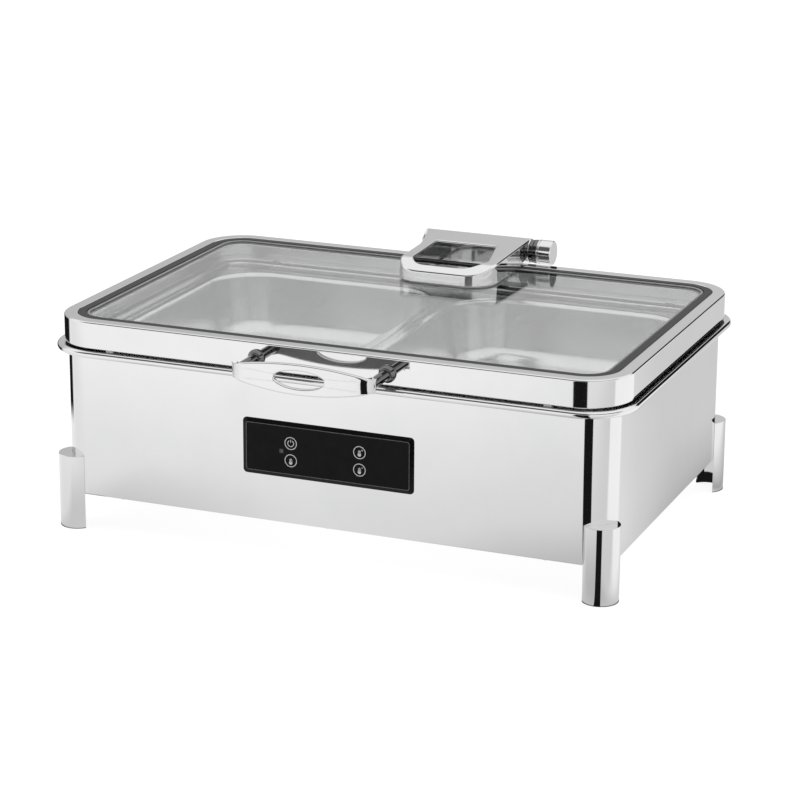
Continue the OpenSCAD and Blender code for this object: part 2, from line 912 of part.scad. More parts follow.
module heater_element() {
    tail_x = heater_w / 2 + element_tail;
    color(grey)
        translate([0, 0, z_element]) {
            for (k = [0:run_count - 1]) {
                y = k * element_pitch - element_side;
                outer = k == 0 || k == run_count - 1;
                translate([0, y, 0])
                    bar_x(element_r, -element_run / 2, outer ? tail_x : element_run / 2);
            }
            for (k = [0:run_count - 2]) {
                left = k % 2 == 0;
                translate([left ? -element_run / 2 : element_run / 2,
                           (k + 0.5) * element_pitch - element_side, 0])
                    rotate([0, 0, left ? 90 : -90])
                        rotate_extrude(angle = 180)
                            translate([element_pitch / 2, 0])
                                circle(r = element_r);
            }
        }
}

// Straps under the element, each with two feet on the heater plate
module element_straps() {
    strap_d = 2 * (element_side + element_r + strap_foot);
    low = z_element - element_r - element_fit;
    color(satin)
        for (sx = [-1, 1])
            translate([sx * strap_x, 0, 0]) {
                translate([-strap_w / 2, -strap_d / 2, low - strap_t])
                    cube([strap_w, strap_d, strap_t]);
                for (sy = [-1, 1])
                    translate([-strap_w / 2, sy * (strap_d - strap_foot / 2) / 2 - strap_foot / 4,
                               low - strap_t])
                        cube([strap_w, strap_foot / 2, z_heater - low + strap_t]);
            }
}

module heat_shield() {
    color(satin)
        difference() {
            union() {
                slab(shield_w, shield_d, heater_r, z_shield, z_shield + shield_t);
                frame(shield_w, shield_d, heater_r, shield_t, z_shield, z_shield + shield_lip);
            }
            for (sx = [-1, 1], sy = [-1, 1])
                translate([sx * shield_post_x, sy * shield_post_y, z_shield - past])
                    cylinder(r = screw_r + screw_gap, h = shield_t + 2 * past);
        }
}

// Turned posts on the bottom plate, with a stud that passes through the shield
module shield_posts() {
    stud_h = 3;
    color(grey)
        for (sx = [-1, 1], sy = [-1, 1])
            translate([sx * shield_post_x, sy * shield_post_y, z_floor]) {
                cylinder(r = post_r, h = bay_h);
                cylinder(r = screw_r, h = bay_h + shield_t + stud_h);
            }
}

module sensor_shape() {
    cylinder(r = sensor_r, h = sensor_h);
    translate([0, 0, -sensor_r / 3])
        cylinder(r = sensor_r / 2, h = sensor_r / 3);
}

module temperature_sensor() {
    color(brass)
        translate([-sensor_x, 0, z_bath - sensor_h])
            sensor_shape();
}

module thermal_cutout() {
    color(grey)
        translate([sensor_x, 0, z_bath - sensor_h])
            sensor_shape();
}

// Control panel

module at_panel() {
    translate([panel_x, 0, panel_z])
        children();
}

module at_pads() {
    for (sx = [-1, 1], sz = [-1, 1])
        translate([sx * pad_x - pad_left, 0, sz * pad_pitch / 2 - pad_low])
            rotate([-90, 0, 0])
                children();
}

module at_board_screws() {
    for (sx = [-1, 1], sz = [-1, 1])
        translate([sx * board_screw_x, 0, sz * board_screw_z])
            rotate([-90, 0, 0])
                children();
}

module panel_bezel() {
    inner_r = panel_r / 2;
    color(black)
        at_panel()
            difference() {
                union() {
                    difference() {
                        union() {
                            front_plate(panel_w, panel_h, panel_r, front_y - bezel_proud, front_y);
                            front_plate(cut_w - 2 * panel_fit, cut_h - 2 * panel_fit,
                                        panel_r - panel_fit,
                                        front_y - bezel_proud / 2, front_y + bezel_depth);
                        }
                        front_plate(cover_w, cover_h, inner_r, front_y - bezel_proud - past, web_y);
                        front_plate(room_w, room_h, inner_r, room_y, front_y + bezel_depth + past);
                    }
                    translate([0, web_y + web_t / 2, 0])
                        at_board_screws()
                            cylinder(r = board_boss_r, h = board_y - web_y - web_t / 2);
                }
                translate([0, room_y, 0])
                    at_board_screws()
                        cylinder(r = screw_r + thread_gap, h = board_y - room_y + past);
                translate([led_x, 0, -pad_low])
                    front_plate(led_size + 2 * panel_fit, led_size + 2 * panel_fit, panel_fit,
                                web_y - past, room_y + past);
            }
}

// Push-on ring that holds the bezel against the cabinet from inside
module panel_retainer() {
    y0 = front_y + sheet_t;
    color(grey)
        at_panel()
            difference() {
                front_plate(cut_w + 2 * retainer_lap, cut_h + 2 * retainer_lap, panel_r,
                            y0, y0 + retainer_t);
                front_plate(cut_w, cut_h, panel_r, y0 - past, y0 + retainer_t + past);
            }
}

module panel_glass() {
    color(black)
        at_panel()
            front_plate(cover_w - 2 * panel_fit, cover_h - 2 * panel_fit, panel_r / 2,
                        front_y - bezel_proud, web_y);
}

module touch_pads() {
    color(copper)
        at_panel()
            translate([0, room_y, 0])
                at_pads()
                    cylinder(r = pad_r, h = pad_t);
}

module indicator_lamp() {
    color(red)
        at_panel()
            translate([led_x, 0, -pad_low])
                front_plate(led_size, led_size, panel_fit, web_y + panel_fit, board_y);
}

module control_board() {
    chip = [14, 3, 14];
    color(board_green)
        at_panel()
            difference() {
                union() {
                    front_plate(board_w, board_h, panel_r / 2, board_y, board_y + board_t);
                    for (sx = [-1, 1])
                        translate([sx * chip[0] * 2 - chip[0] / 2, board_y + board_t / 2, -chip[2] / 2])
                            cube([chip[0], chip[1], chip[2]]);
                }
                translate([0, board_y - past, 0])
                    at_board_screws()
                        cylinder(r = screw_r + screw_gap, h = board_t + 2 * past);
            }
}

module control_board_screws() {
    color(grey)
        at_panel()
            translate([0, board_y + board_t, 0])
                at_board_screws()
                    rotate([180, 0, 0])
                        screw(screw_r, board_t + pad_t - board_screw_end);
}

// Wiring bay

module at_power_posts() {
    for (sx = [-1, 1], sy = [-1, 1])
        translate([power_x + sx * (power_w / 2 - 2 * power_post_r),
                   power_y + sy * (power_d / 2 - 2 * power_post_r), z_floor])
            children();
}

module power_board() {
    color(board_green)
        difference() {
            translate([power_x, power_y, 0])
                slab(power_w, power_d, power_post_r, z_floor + power_post_h, z_power);
            at_power_posts()
                cylinder(r = screw_r + screw_gap, h = power_post_h + board_t + past);
        }
}

module power_board_posts() {
    color(satin)
        at_power_posts() {
            cylinder(r = power_post_r, h = power_post_h);
            cylinder(r = screw_r, h = power_post_h + 2 * board_t);
        }
}

module block_on(size, x, y, z) {
    translate([x - size[0] / 2, y - size[1] / 2, z])
        cube(size);
}

module power_relay() {
    color(black)
        block_on(relay, relay_x, power_y, z_power);
}

module power_supply() {
    core_side = 5;
    color(copper) {
        block_on(supply, supply_x, power_y, z_power);
        block_on([supply[0] - 4 * core_side, supply[1] + 2 * core_side, supply[2] - 2 * core_side],
                 supply_x, power_y, z_power + core_side);
    }
}

function pole_x(k) = block_x + (k - (pole_count - 1) / 2) * block_pole;

module terminal_block() {
    hole_r = 2.4;
    color(ivory)
        difference() {
            block_on(block, block_x, block_y, z_floor);
            for (k = [0:pole_count - 1])
                translate([pole_x(k), block_y, z_floor + block[2] * 0.6])
                    cylinder(r = hole_r, h = block[2]);
        }
}

module at_inlet() {
    translate([inlet_x, 0, inlet_z])
        children();
}

module appliance_inlet() {
    y_face = rear_y + inlet_flange_t;
    color(black)
        difference() {
            union() {
                at_inlet()
                    front_plate(inlet_flange_w, inlet_out_h + 2 * sheet_fit + inlet_t, inlet_t,
                                rear_y, y_face);
                at_inlet()
                    front_plate(inlet_out_w, inlet_out_h, inlet_t,
                                rear_y - inlet_back, y_face - inlet_flange_t / 2);
            }
            at_inlet()
                front_plate(inlet_w, inlet_h, inlet_t, y_face - inlet_depth, y_face + past);
            at_inlet_screws()
                translate([0, 0, -past])
                    cylinder(r = screw_r + screw_gap, h = inlet_flange_t + 2 * past);
            at_pins()
                pin_slot(pin_w + 2 * panel_fit, pin_h + 2 * panel_fit);
        }
}

module at_pins() {
    at_inlet()
        for (k = [-1:1])
            translate([k * pin_pitch, rear_y - inlet_back, k == 0 ? pin_h / 2 : -pin_h / 4])
                children();
}

module pin_slot(w, h) {
    translate([-w / 2, -pin_tab, -h / 2])
        cube([w, pin_tab + inlet_back + inlet_flange_t - inlet_depth + pin_l, h]);
}

module inlet_pins() {
    color(brass)
        at_pins()
            pin_slot(pin_w, pin_h);
}

module inlet_screws() {
    color(grey)
        at_inlet_screws()
            screw(screw_r, inlet_flange_t + sheet_t + inlet_screw_out);
}

// One lead from each inlet tab to a pole of the terminal block
module mains_leads() {
    color(brown)
        for (k = [-1:1]) {
            x = inlet_x + k * pin_pitch;
            z = inlet_z + (k == 0 ? pin_h / 2 : -pin_h / 4);
            px = pole_x(k + 2);
            lead([[x, tab_y, z],
                  [x, tab_y - wire_drop / 2, z],
                  [(x + px) / 2, tab_y - wire_drop - (k + 1) * 3 * wire_r,
                   block_wire_z + (k + 1) * wire_r],
                  [px, block_y + block[1] / 2 + wire_drop / 2, block_wire_z],
                  [px, block_y + block[1] / 2, block_wire_z]], wire_r);
        }
}

// Leads from the element's cold ends, past the heat shield, down to the terminal block
module heater_leads() {
    end_x = heater_w / 2 + element_tail;
    turn = wire_drop / 2;
    low_z = z_floor + bay_h / 3;
    back_y = block_y - block[1] / 2;
    color(red)
        for (sy = [-1, 1]) {
            px = pole_x(sy < 0 ? 2 : 3);
            y = sy * element_side;
            lane = lead_lanes[sy < 0 ? 0 : 1];
            lead([[end_x, y, z_element],
                  [end_x + turn, y, z_element],
                  [end_x + 2 * turn, y, z_element - turn],
                  [end_x + 2 * turn, y - sy * turn, low_z + turn],
                  [px + 2 * turn, back_y - lane * turn, block_wire_z],
                  [px, back_y - turn, block_wire_z],
                  [px, back_y, block_wire_z]], wire_r);
        }
}

// Flat run of the control cable, from the power board along the floor and up to the control board
module signal_cable() {
    cable_x = power_x + cable_in;
    cable_y = board_y + board_t;
    low_z = z_floor + cable_r + cable_lift;
    up_z = panel_z - board_h / 2 + cable_up;
    bay_y = power_y - power_d / 2;
    color(grey)
        lead([[cable_x, bay_y, z_power - board_t / 2],
              [cable_x, bay_y - wire_drop, z_power - board_t / 2],
              [cable_x + wire_drop, cable_y + 3 * wire_drop, low_z],
              [cable_x + 4 * wire_drop, cable_y + wire_drop, low_z + wire_drop],
              [cable_x + 5 * wire_drop, cable_y + wire_drop, up_z - wire_drop],
              [cable_x + 5 * wire_drop, cable_y + wire_drop / 2, up_z],
              [cable_x + 5 * wire_drop, cable_y, up_z]], cable_r);
}

// Hinge, base side

module at_axis() {
    translate([0, axis_y, axis_z])
        children();
}

// Extrudes a profile drawn in the plane of the side, from x0 to x1
module side_solid(x0, x1) {
    translate([x0, 0, 0])
        rotate([90, 0, 90])
            linear_extrude(x1 - x0)
                children();
}

module neck_profile() {
    back = neck_y + neck_t;
    polygon([[rear_y, base_z1], [neck_y, base_z1], [neck_y, axis_z], [back, axis_z],
             [back, base_z1 - (back - rear_y) / 2], [rear_y + base_t, base_z0 + neck_foot],
             [rear_y + base_t, base_z0 + neck_foot / 2], [rear_y, base_z0 + neck_foot / 2]]);
    translate([axis_y, axis_z])
        circle(r = knuckle_r);
}

module hinge_base() {
    color(steel)
        difference() {
            union() {
                translate([hinge_x, 0, (base_z0 + base_z1) / 2])
                    front_plate(base_w, base_h, panel_r, rear_y, rear_y + base_t);
                side_solid(hinge_x - knuckle_w / 2, hinge_x + knuckle_w / 2)
                    neck_profile();
            }
            at_axis()
                bar_x(shaft_r + thread_gap, hinge_x - knuckle_w, hinge_x + knuckle_w);
            translate([0, base_t, 0])
                at_base_screws()
                    translate([0, 0, -past])
                        cylinder(r = bolt_r + screw_gap, h = base_t + 2 * past);
            at_knuckle_set()
                cylinder(r = screw_r + thread_gap, h = knuckle_r + past);
        }
}

module hinge_backing_plate() {
    color(satin)
        difference() {
            translate([hinge_x, 0, (base_z0 + base_z1) / 2])
                front_plate(base_w, base_h, panel_r, rear_y - sheet_t - backing_t, rear_y - sheet_t);
            at_base_screws()
                cylinder(r = bolt_r + thread_gap, h = sheet_t + backing_t + past);
        }
}

module hinge_base_screws() {
    color(grey)
        translate([0, base_t, 0])
            at_base_screws()
                screw(bolt_r, base_t + sheet_t + backing_t);
}

module hinge_shaft() {
    color(grey)
        at_axis() {
            bar_x(shaft_r, shaft_x0, shaft_x1);
            bar_x(shaft_head_r, shaft_x0 - shaft_head_t, shaft_x0);
        }
}

module hinge_end_cap() {
    color(steel)
        difference() {
            at_axis()
                translate([cap_x, 0, 0])
                    rotate([0, 90, 0])
                        rotate_extrude()
                            polygon([[0, 0], [barrel_r, 0], [barrel_r, groove_at],
                                     [barrel_r - groove_depth, groove_at],
                                     [barrel_r - groove_depth, groove_at + groove_w],
                                     [barrel_r, groove_at + groove_w], [barrel_r, cap_l - cap_edge],
                                     [barrel_r - cap_edge, cap_l], [0, cap_l]]);
            at_axis()
                bar_x(shaft_r + thread_gap, cap_x - past, shaft_x1 + thread_gap);
            at_cap_set()
                cylinder(r = screw_r + thread_gap, h = barrel_r + past);
        }
}

// Rings between the arm and the end cap that hold the lid where it is left
module friction_washers() {
    color(black)
        at_axis()
            for (k = [0, 1])
                difference() {
                    bar_x(barrel_r - washer_in + k * washer_step, washer_x + k * (washer_t + washer_gap),
                          washer_x + k * (washer_t + washer_gap) + washer_t);
                    bar_x(shaft_r + shaft_fit, washer_x - past, cap_x);
                }
}

module at_knuckle_set() {
    at_axis()
        translate([hinge_x, 0, 0])
            rotate([-90, 0, 0])
                children();
}

module at_cap_set() {
    at_axis()
        translate([cap_x + cap_l / 2, 0, 0])
            rotate([180, 0, 0])
                children();
}

// Grub screws that pin the shaft in the knuckle and the cap on the shaft
module hinge_set_screws() {
    color(grey) {
        at_knuckle_set()
            grub(knuckle_r);
        at_cap_set()
            grub(barrel_r);
    }
}

module grub(out_r) {
    tip = shaft_r + set_gap;
    difference() {
        translate([0, 0, tip])
            cylinder(r = screw_r, h = out_r - tip - set_gap);
        translate([0, 0, out_r - set_gap - screw_r])
            cylinder(r = screw_r / 2, h = screw_r + past, $fn = 6);
    }
}

// Lid

module lid_profile() {
    band(-lid_t, 0, z_lid, z_lid_top);
    band(-lid_return, 0, z_lid, z_lid + lid_t);
    band(-lid_flange, 0, z_lid_top - lid_t, z_lid_top);
    band(-lid_flange, -lid_flange + lid_t, z_rebate - lid_t, z_lid_top);
    band(-lid_flange - rebate_ledge, -lid_flange + lid_t, z_rebate - lid_t, z_rebate);
}

module at_handle_screws() {
    for (sx = [-1, 1])
        translate([sx * post_x, lid_t - lid_d / 2, handle_z])
            rotate([90, 0, 0])
                children();
}

module at_bumpers() {
    for (sy = [0, 1], sx = [-1, 0, 1])
        mirror([0, sy, 0])
            translate([sx * bumper_x, bumper_y, z_lid])
                children();
}

module lid_frame() {
    color(steel)
        difference() {
            ring_sweep(lid_w, lid_d, lid_r)
                lid_profile();
            at_bumpers()
                translate([0, 0, -past])
                    cylinder(r = bumper_plug_r + bumper_fit, h = lid_t + 2 * past);
            at_handle_screws()
                translate([0, 0, -past])
                    cylinder(r = bolt_r + screw_gap, h = lid_t + 2 * past);
        }
}

module seal_profile() {
    difference() {
        union() {
            band(-seal_s - seal_w, -seal_s, z_glass_top + glass_fit, z_seal_top);
            band(-seal_s - seal_w, -seal_s, z_rebate, z_glass - glass_fit);
            band(-seal_s - glass_in, -seal_s, z_rebate, z_seal_top);
        }
        band(-seal_s - glass_in, -seal_s - glass_in + glass_fit,
             z_glass - glass_fit, z_glass_top + glass_fit);
    }
}

module glass_seal() {
    color(grey)
        ring_sweep(lid_w, lid_d, lid_r)
            seal_profile();
}

module at_arm_screws() {
    translate([hinge_x, 0, z_glass - clamp_t]) {
        for (sx = [-1, 1]) {
            translate([sx * arm_screw_x, arm_screw_y, 0])
                children();
            translate([sx * arm_side_x, arm_side_y, 0])
                children();
        }
    }
}

module lid_glass() {
    color(clear)
        difference() {
            slab(lid_w - 2 * glass_s, lid_d - 2 * glass_s, lid_r - glass_s, z_glass, z_glass_top);
            at_arm_screws()
                cylinder(r = bolt_r + screw_gap, h = clamp_t + glass_t + past);
        }
}

// Pads under the lid's folded edge that rest on the rim, each held by a plug
module bumper() {
    low = z_web + bumper_gap - z_lid;
    translate([-bumper_l / 2, -bumper_w / 2, low])
        cube([bumper_l, bumper_w, -low]);
    cylinder(r = bumper_plug_r, h = lid_t + bumper_fit + bumper_head_h);
    translate([0, 0, lid_t + bumper_fit])
        cylinder(r = bumper_plug_r + bumper_head, h = bumper_head_h);
}

module lid_bumpers() {
    color(grey)
        at_bumpers()
            bumper();
}

// Handle

module lens() {
    intersection() {
        translate([0, handle_mid_h / 2 - edge_r])
            circle(r = edge_r, $fn = 180);
        translate([0, edge_r - handle_mid_h / 2])
            circle(r = edge_r, $fn = 180);
        square([handle_l, handle_mid_h], center = true);
    }
}

module handle_plate() {
    color(steel)
        translate([0, 0, handle_z])
            intersection() {
                translate([0, -lid_d / 2, 0])
                    rotate([90, 0, 0])
                        linear_extrude(handle_reach + 2 * handle_bow + handle_t)
                            difference() {
                                lens();
                                polygon([for (k = [0:oval_steps - 1])
                                    let (a = 360 * k / oval_steps)
                                    [oval_l / 2 * cos(a), oval_h / 2 * sin(a)]]);
                            }
                translate([0, handle_cy, 0])
                    linear_extrude(handle_mid_h, center = true)
                        difference() {
                            circle(r = handle_in_r + handle_t, $fn = 180);
                            circle(r = handle_in_r, $fn = 180);
                        }
            }
}

module handle_post() {
    difference() {
        translate([0, 0, handle_z])
            intersection() {
                union() {
                    translate([0, -lid_d / 2, 0])
                        rotate([90, 0, 0]) {
                            translate([post_x, 0, 0])
                                cylinder(r = handle_post_r, h = handle_reach + handle_bow);
                            translate([post_x, 0, 0])
                                cylinder(r1 = collar_r, r2 = handle_post_r + collar_lip, h = collar_h);
                        }
                }
                translate([0, handle_cy, 0])
                    cylinder(r = handle_in_r - handle_fit, h = 3 * collar_r, center = true, $fn = 180);
            }
        at_handle_screws()
            cylinder(r = bolt_r + thread_gap, h = lid_t + handle_screw_l);
    }
}

module handle_post_left() {
    color(steel)
        mirror([1, 0, 0])
            handle_post();
}

module handle_post_right() {
    color(steel)
        handle_post();
}

module handle_screws() {
    color(grey)
        at_handle_screws()
            screw(bolt_r, handle_screw_l);
}

// Hinge, lid side

// Plan of the arm, drawn in by an inset
module arm_plan(inset, y1) {
    w = arm_w - 2 * inset;
    r = arm_r - inset;
    y0 = arm_y + inset;
    translate([-w / 2, y0 + r])
        square([w, y1 - y0 - r]);
    translate([-w / 2 + r, y0])
        square([w - 2 * r, r + past]);
    for (sx = [-1, 1])
        translate([sx * (w / 2 - r), y0 + r])
            circle(r = r);
}

// Plan of the D-shaped window, drawn out by an inset
module window_plan(inset) {
    w = arm_w - 2 * band_side + 2 * inset;
    r = window_r + inset;
    y0 = window_y - inset;
    y1 = window_y + window_l + inset;
    difference() {
        union() {
            translate([-w / 2, y0 + r])
                square([w, y1 - y0 - r]);
            translate([-w / 2 + r, y0])
                square([w - 2 * r, r + past]);
            for (sx = [-1, 1])
                translate([sx * (w / 2 - r), y0 + r])
                    circle(r = r);
        }
        polygon([[w / 2, y0 + r], [w / 2 + past, y0 + r],
                 [w / 2 + past, y1 + past], [w / 2 - window_taper, y1 + past]]);
    }
}

// Plan of the flare from the arm's left side out to the end of its barrel
module flare_plan() {
    x0 = -arm_w / 2;
    y1 = axis_y + 2 * barrel_r;
    polygon([[x0, axis_y - flare_l], [x0 - barrel_left, axis_y], [x0 - barrel_left, y1],
             [x0 + cheek_w / 2, y1], [x0 + cheek_w / 2, axis_y - flare_l]]);
}

module arm_band() {
    difference() {
        arm_plan(arm_inset, arm_y + arm_seat);
        window_plan(arm_inset);
        translate([-arm_w, arm_y + arm_seat])
            square([2 * arm_w, window_l]);
    }
}

module arm_profile() {
    polygon([[arm_y, z_arm], [under_y, z_arm],
             [axis_y - barrel_r + past, axis_z - under_rise], [axis_y, axis_z],
             [axis_y, axis_z + barrel_r], [arm_y + arm_slope, z_arm + arm_h],
             [arm_y, z_arm + arm_front_h]]);
    translate([axis_y, axis_z])
        circle(r = barrel_r);
}

// Room for the fixed knuckle, open to the back below the cover's edge
module knuckle_room() {
    reach = 2 * barrel_r;
    room_r = knuckle_r + cover_room;
    translate([axis_y, axis_z]) {
        circle(r = room_r);
        polygon([[0, 0], [reach * cos(cover_deg), reach * sin(cover_deg)],
                 [reach, 0], [reach, -reach], [-room_r, -reach], [-room_r, 0]]);
    }
}

module hinge_arm() {
    half = knuckle_w / 2 + knuckle_gap;
    color(steel)
        difference() {
            union() {
                intersection() {
                    side_solid(arm_x0, arm_x1)
                        arm_profile();
                    translate([hinge_x, 0, axis_z - 2 * barrel_r])
                        linear_extrude(4 * barrel_r)
                            arm_plan(0, axis_y + 2 * barrel_r);
                }
                intersection() {
                    side_solid(barrel_x0, arm_x0 + cheek_w / 2)
                        arm_profile();
                    translate([hinge_x, 0, axis_z - 2 * barrel_r])
                        linear_extrude(4 * barrel_r)
                            flare_plan();
                }
            }
            translate([hinge_x, 0, z_arm - past])
                linear_extrude(3 * barrel_r)
                    window_plan(0);
            side_solid(hinge_x - half, hinge_x + half)
                knuckle_room();
            at_axis()
                bar_x(bush_r + thread_gap, barrel_x0 - past, arm_x1 + past);
            at_arm_screws()
                cylinder(r = bolt_r + thread_gap,
                         h = z_arm - z_glass + clamp_t + arm_screw_depth + arm_screw_end);
        }
}

module arm_pad() {
    color(black)
        difference() {
            translate([hinge_x, 0, z_glass_top])
                linear_extrude(arm_pad_t)
                    arm_band();
            at_arm_screws()
                cylinder(r = bolt_r + screw_gap, h = 2 * arm_h);
        }
}

module arm_clamp_plate() {
    color(satin)
        difference() {
            translate([hinge_x, 0, z_glass - clamp_t])
                linear_extrude(clamp_t)
                    arm_band();
            at_arm_screws()
                translate([0, 0, -past])
                    cylinder(r = bolt_r + screw_gap, h = clamp_t + 2 * past);
        }
}

module arm_screws() {
    color(grey)
        at_arm_screws()
            screw(bolt_r, z_arm - z_glass + clamp_t + arm_screw_depth);
}

module arm_bushes() {
    color(brass)
        at_axis()
            for (ends = [[barrel_x0, arm_x0 + cheek_w], [arm_x1 - cheek_w, arm_x1]])
                difference() {
                    bar_x(bush_r, ends[0], ends[1]);
                    bar_x(shaft_r + shaft_fit, ends[0] - past, ends[1] + past);
                }
}

placed() {
    body_shell();
    body_rim();
    bottom_plate();
    bottom_plate_screws();
    foot_front_left();
    foot_front_right();
    foot_rear_left();
    foot_rear_right();
    foot_screws();
    water_pan();
    food_pan_left();
    food_pan_right();
    heater_plate();
    heater_element();
    element_straps();
    heat_shield();
    shield_posts();
    temperature_sensor();
    thermal_cutout();
    panel_bezel();
    panel_retainer();
    panel_glass();
    touch_pads();
    indicator_lamp();
    control_board();
    control_board_screws();
    power_board();
    power_board_posts();
    power_relay();
    power_supply();
    terminal_block();
    appliance_inlet();
    inlet_pins();
    inlet_screws();
    mains_leads();
    heater_leads();
    signal_cable();
    hinge_base();
    hinge_base_screws();
    hinge_backing_plate();
    hinge_shaft();
    hinge_end_cap();
    friction_washers();
    hinge_set_screws();
    lid_frame();
    lid_glass();
    glass_seal();
    lid_bumpers();
    handle_plate();
    handle_post_left();
    handle_post_right();
    handle_screws();
    hinge_arm();
    arm_pad();
    arm_clamp_plate();
    arm_screws();
    arm_bushes();
}
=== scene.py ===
# %% [markdown]
# # An electric chafing dish
# The dish keeps two pans of food warm over a water bath. Its cabinet and lid
# frame are mirror polished steel, the lid has a glass pane and swings on a
# friction hinge at the back, and a black touch panel sits in the front wall.
# The solids of the part are loaded first. They stay where they are, and the
# pieces below take their places and sizes from them.

# %% Load the frame
import math

import bmesh
import bpy
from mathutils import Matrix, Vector


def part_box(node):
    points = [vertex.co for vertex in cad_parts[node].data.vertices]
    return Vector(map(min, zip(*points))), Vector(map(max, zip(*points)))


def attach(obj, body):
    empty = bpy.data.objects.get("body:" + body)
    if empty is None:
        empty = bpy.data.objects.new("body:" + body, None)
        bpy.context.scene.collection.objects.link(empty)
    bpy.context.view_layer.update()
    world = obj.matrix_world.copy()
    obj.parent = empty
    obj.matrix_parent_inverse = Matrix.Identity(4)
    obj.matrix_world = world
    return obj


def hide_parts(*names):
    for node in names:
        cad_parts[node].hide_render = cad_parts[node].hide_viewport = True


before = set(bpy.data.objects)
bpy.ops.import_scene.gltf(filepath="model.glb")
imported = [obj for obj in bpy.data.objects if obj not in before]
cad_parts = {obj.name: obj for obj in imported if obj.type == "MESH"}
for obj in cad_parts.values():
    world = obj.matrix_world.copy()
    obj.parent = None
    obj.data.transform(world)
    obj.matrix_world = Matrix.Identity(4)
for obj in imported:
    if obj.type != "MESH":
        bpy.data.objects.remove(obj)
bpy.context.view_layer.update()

print("solids loaded:", len(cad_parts))

# %% [markdown]
# ## Millimetres from the middle of the cabinet
# Sheet metal is easiest to think about in millimetres, measured from the
# middle of the cabinet and from the table. Blender works in metres, so one
# factor and one offset turn the drawing's numbers into the scene's numbers.

# %% Units and measures
MM = 0.001
shell_low, shell_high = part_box("body_shell")
MIDDLE_Y = (shell_low[1] + shell_high[1]) / 2


def measure(node):
    """Lowest and highest corner of a solid, in millimetres from the cabinet's middle."""
    shift = Vector((0, MIDDLE_Y, 0))
    return [(Vector(corner) - shift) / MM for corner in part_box(node)]


def size_of(node):
    """Width, depth and height of a solid in millimetres."""
    low, high = measure(node)
    return high - low


def middle_of(node):
    """The middle of a solid in millimetres."""
    low, high = measure(node)
    return (low + high) / 2


cabinet = size_of("body_shell")
print("cabinet", [round(v, 1) for v in cabinet])

# %% [markdown]
# ## Helpers for sheet metal
# Nearly every sheet part here is one section carried round a rounded
# rectangle: the cabinet, the rim, the lid frame, the seal and the pans. A
# curve with a bevel profile could do that, but its corners pinch. Instead each
# point of the section becomes a ring of its own, all rings have the same count
# of points, and quads join ring to ring.

# %% Rings, sections and lofts
CORNER_STEPS = 14


def rounded_loop(width, depth, radius, steps=CORNER_STEPS):
    """Points round a rounded rectangle, anticlockwise."""
    points = []
    for turn, (sx, sy) in enumerate(((1, -1), (1, 1), (-1, 1), (-1, -1))):
        cx, cy = sx * (width / 2 - radius), sy * (depth / 2 - radius)
        for i in range(steps + 1):
            a = math.radians(90 * (turn - 1) + 90 * i / steps)
            points.append((cx + radius * math.cos(a), cy + radius * math.sin(a)))
    return points


def fillet(points, closed=True, steps=5):
    """Rounds the corners of a flat outline. Each point is (x, y) or (x, y, radius)."""
    done = []
    for i, (x, y, *rest) in enumerate(points):
        here = Vector((x, y))
        at_end = not closed and i in (0, len(points) - 1)
        if not rest or rest[0] <= 0 or at_end:
            done.append((x, y))
            continue
        before = (Vector(points[i - 1][:2]) - here).normalized()
        after = (Vector(points[(i + 1) % len(points)][:2]) - here).normalized()
        half = before.angle(after) / 2
        centre = here + (before + after).normalized() * (rest[0] / math.sin(half))
        start = here + before * (rest[0] / math.tan(half)) - centre
        end = here + after * (rest[0] / math.tan(half)) - centre
        sweep = start.angle_signed(end)
        for k in range(steps + 1):
            a = -sweep * k / steps
            done.append((
                centre.x + start.x * math.cos(a) - start.y * math.sin(a),
                centre.y + start.x * math.sin(a) + start.y * math.cos(a),
            ))
    return done


def make_piece(name, points, faces):
    """A mesh object from points in millimetres, with its faces turned outward."""
    mesh = bpy.data.meshes.new(name)
    mesh.from_pydata([(x * MM, y * MM + MIDDLE_Y, z * MM) for x, y, z in points], [], faces)
    shape = bmesh.new()
    shape.from_mesh(mesh)
    bmesh.ops.recalc_face_normals(shape, faces=shape.faces)
    shape.to_mesh(mesh)
    shape.free()
    piece = bpy.data.objects.new(name, mesh)
    bpy.context.scene.collection.objects.link(piece)
    return piece


def loft_faces(rows, count, closed, first=0):
    """Quads between rows of points, with a cap on each end unless the rows close."""
    faces = []
    for r in range(rows if closed else rows - 1):
        a, b = first + r * count, first + (r + 1) % rows * count
        for i in range(count):
            j = (i + 1) % count
            faces.append((a + i, a + j, b + j, b + i))
    if not closed:
        faces.append(tuple(first + i for i in reversed(range(count))))
        faces.append(tuple(first + (rows - 1) * count + i for i in range(count)))
    return faces


def loft(name, rings, closed=False):
    """A piece through rings of equal count."""
    points = [p for ring in rings for p in ring]
    return make_piece(name, points, loft_faces(len(rings), len(rings[0]), closed))


def ring_sweep(name, width, depth, radius, section):
    """Carries a closed section of (offset from the edge, height) round a rounded rectangle."""
    rings = [
        [(x, y, z) for x, y in rounded_loop(width + 2 * s, depth + 2 * s, radius + s)]
        for s, z in section
    ]
    return loft(name, rings, closed=True)


print("sheet helpers ready")

# %% [markdown]
# Round parts such as posts and caps are turned on a lathe, so their section is
# spun about an axis. Blocks that are cut from the solid start as a flat outline
# with a thickness and are then cut with Boolean modifiers. Real edges are never
# razor sharp, so a Bevel modifier breaks them, and Weighted Normal keeps wide
# flats flat in the reflections.

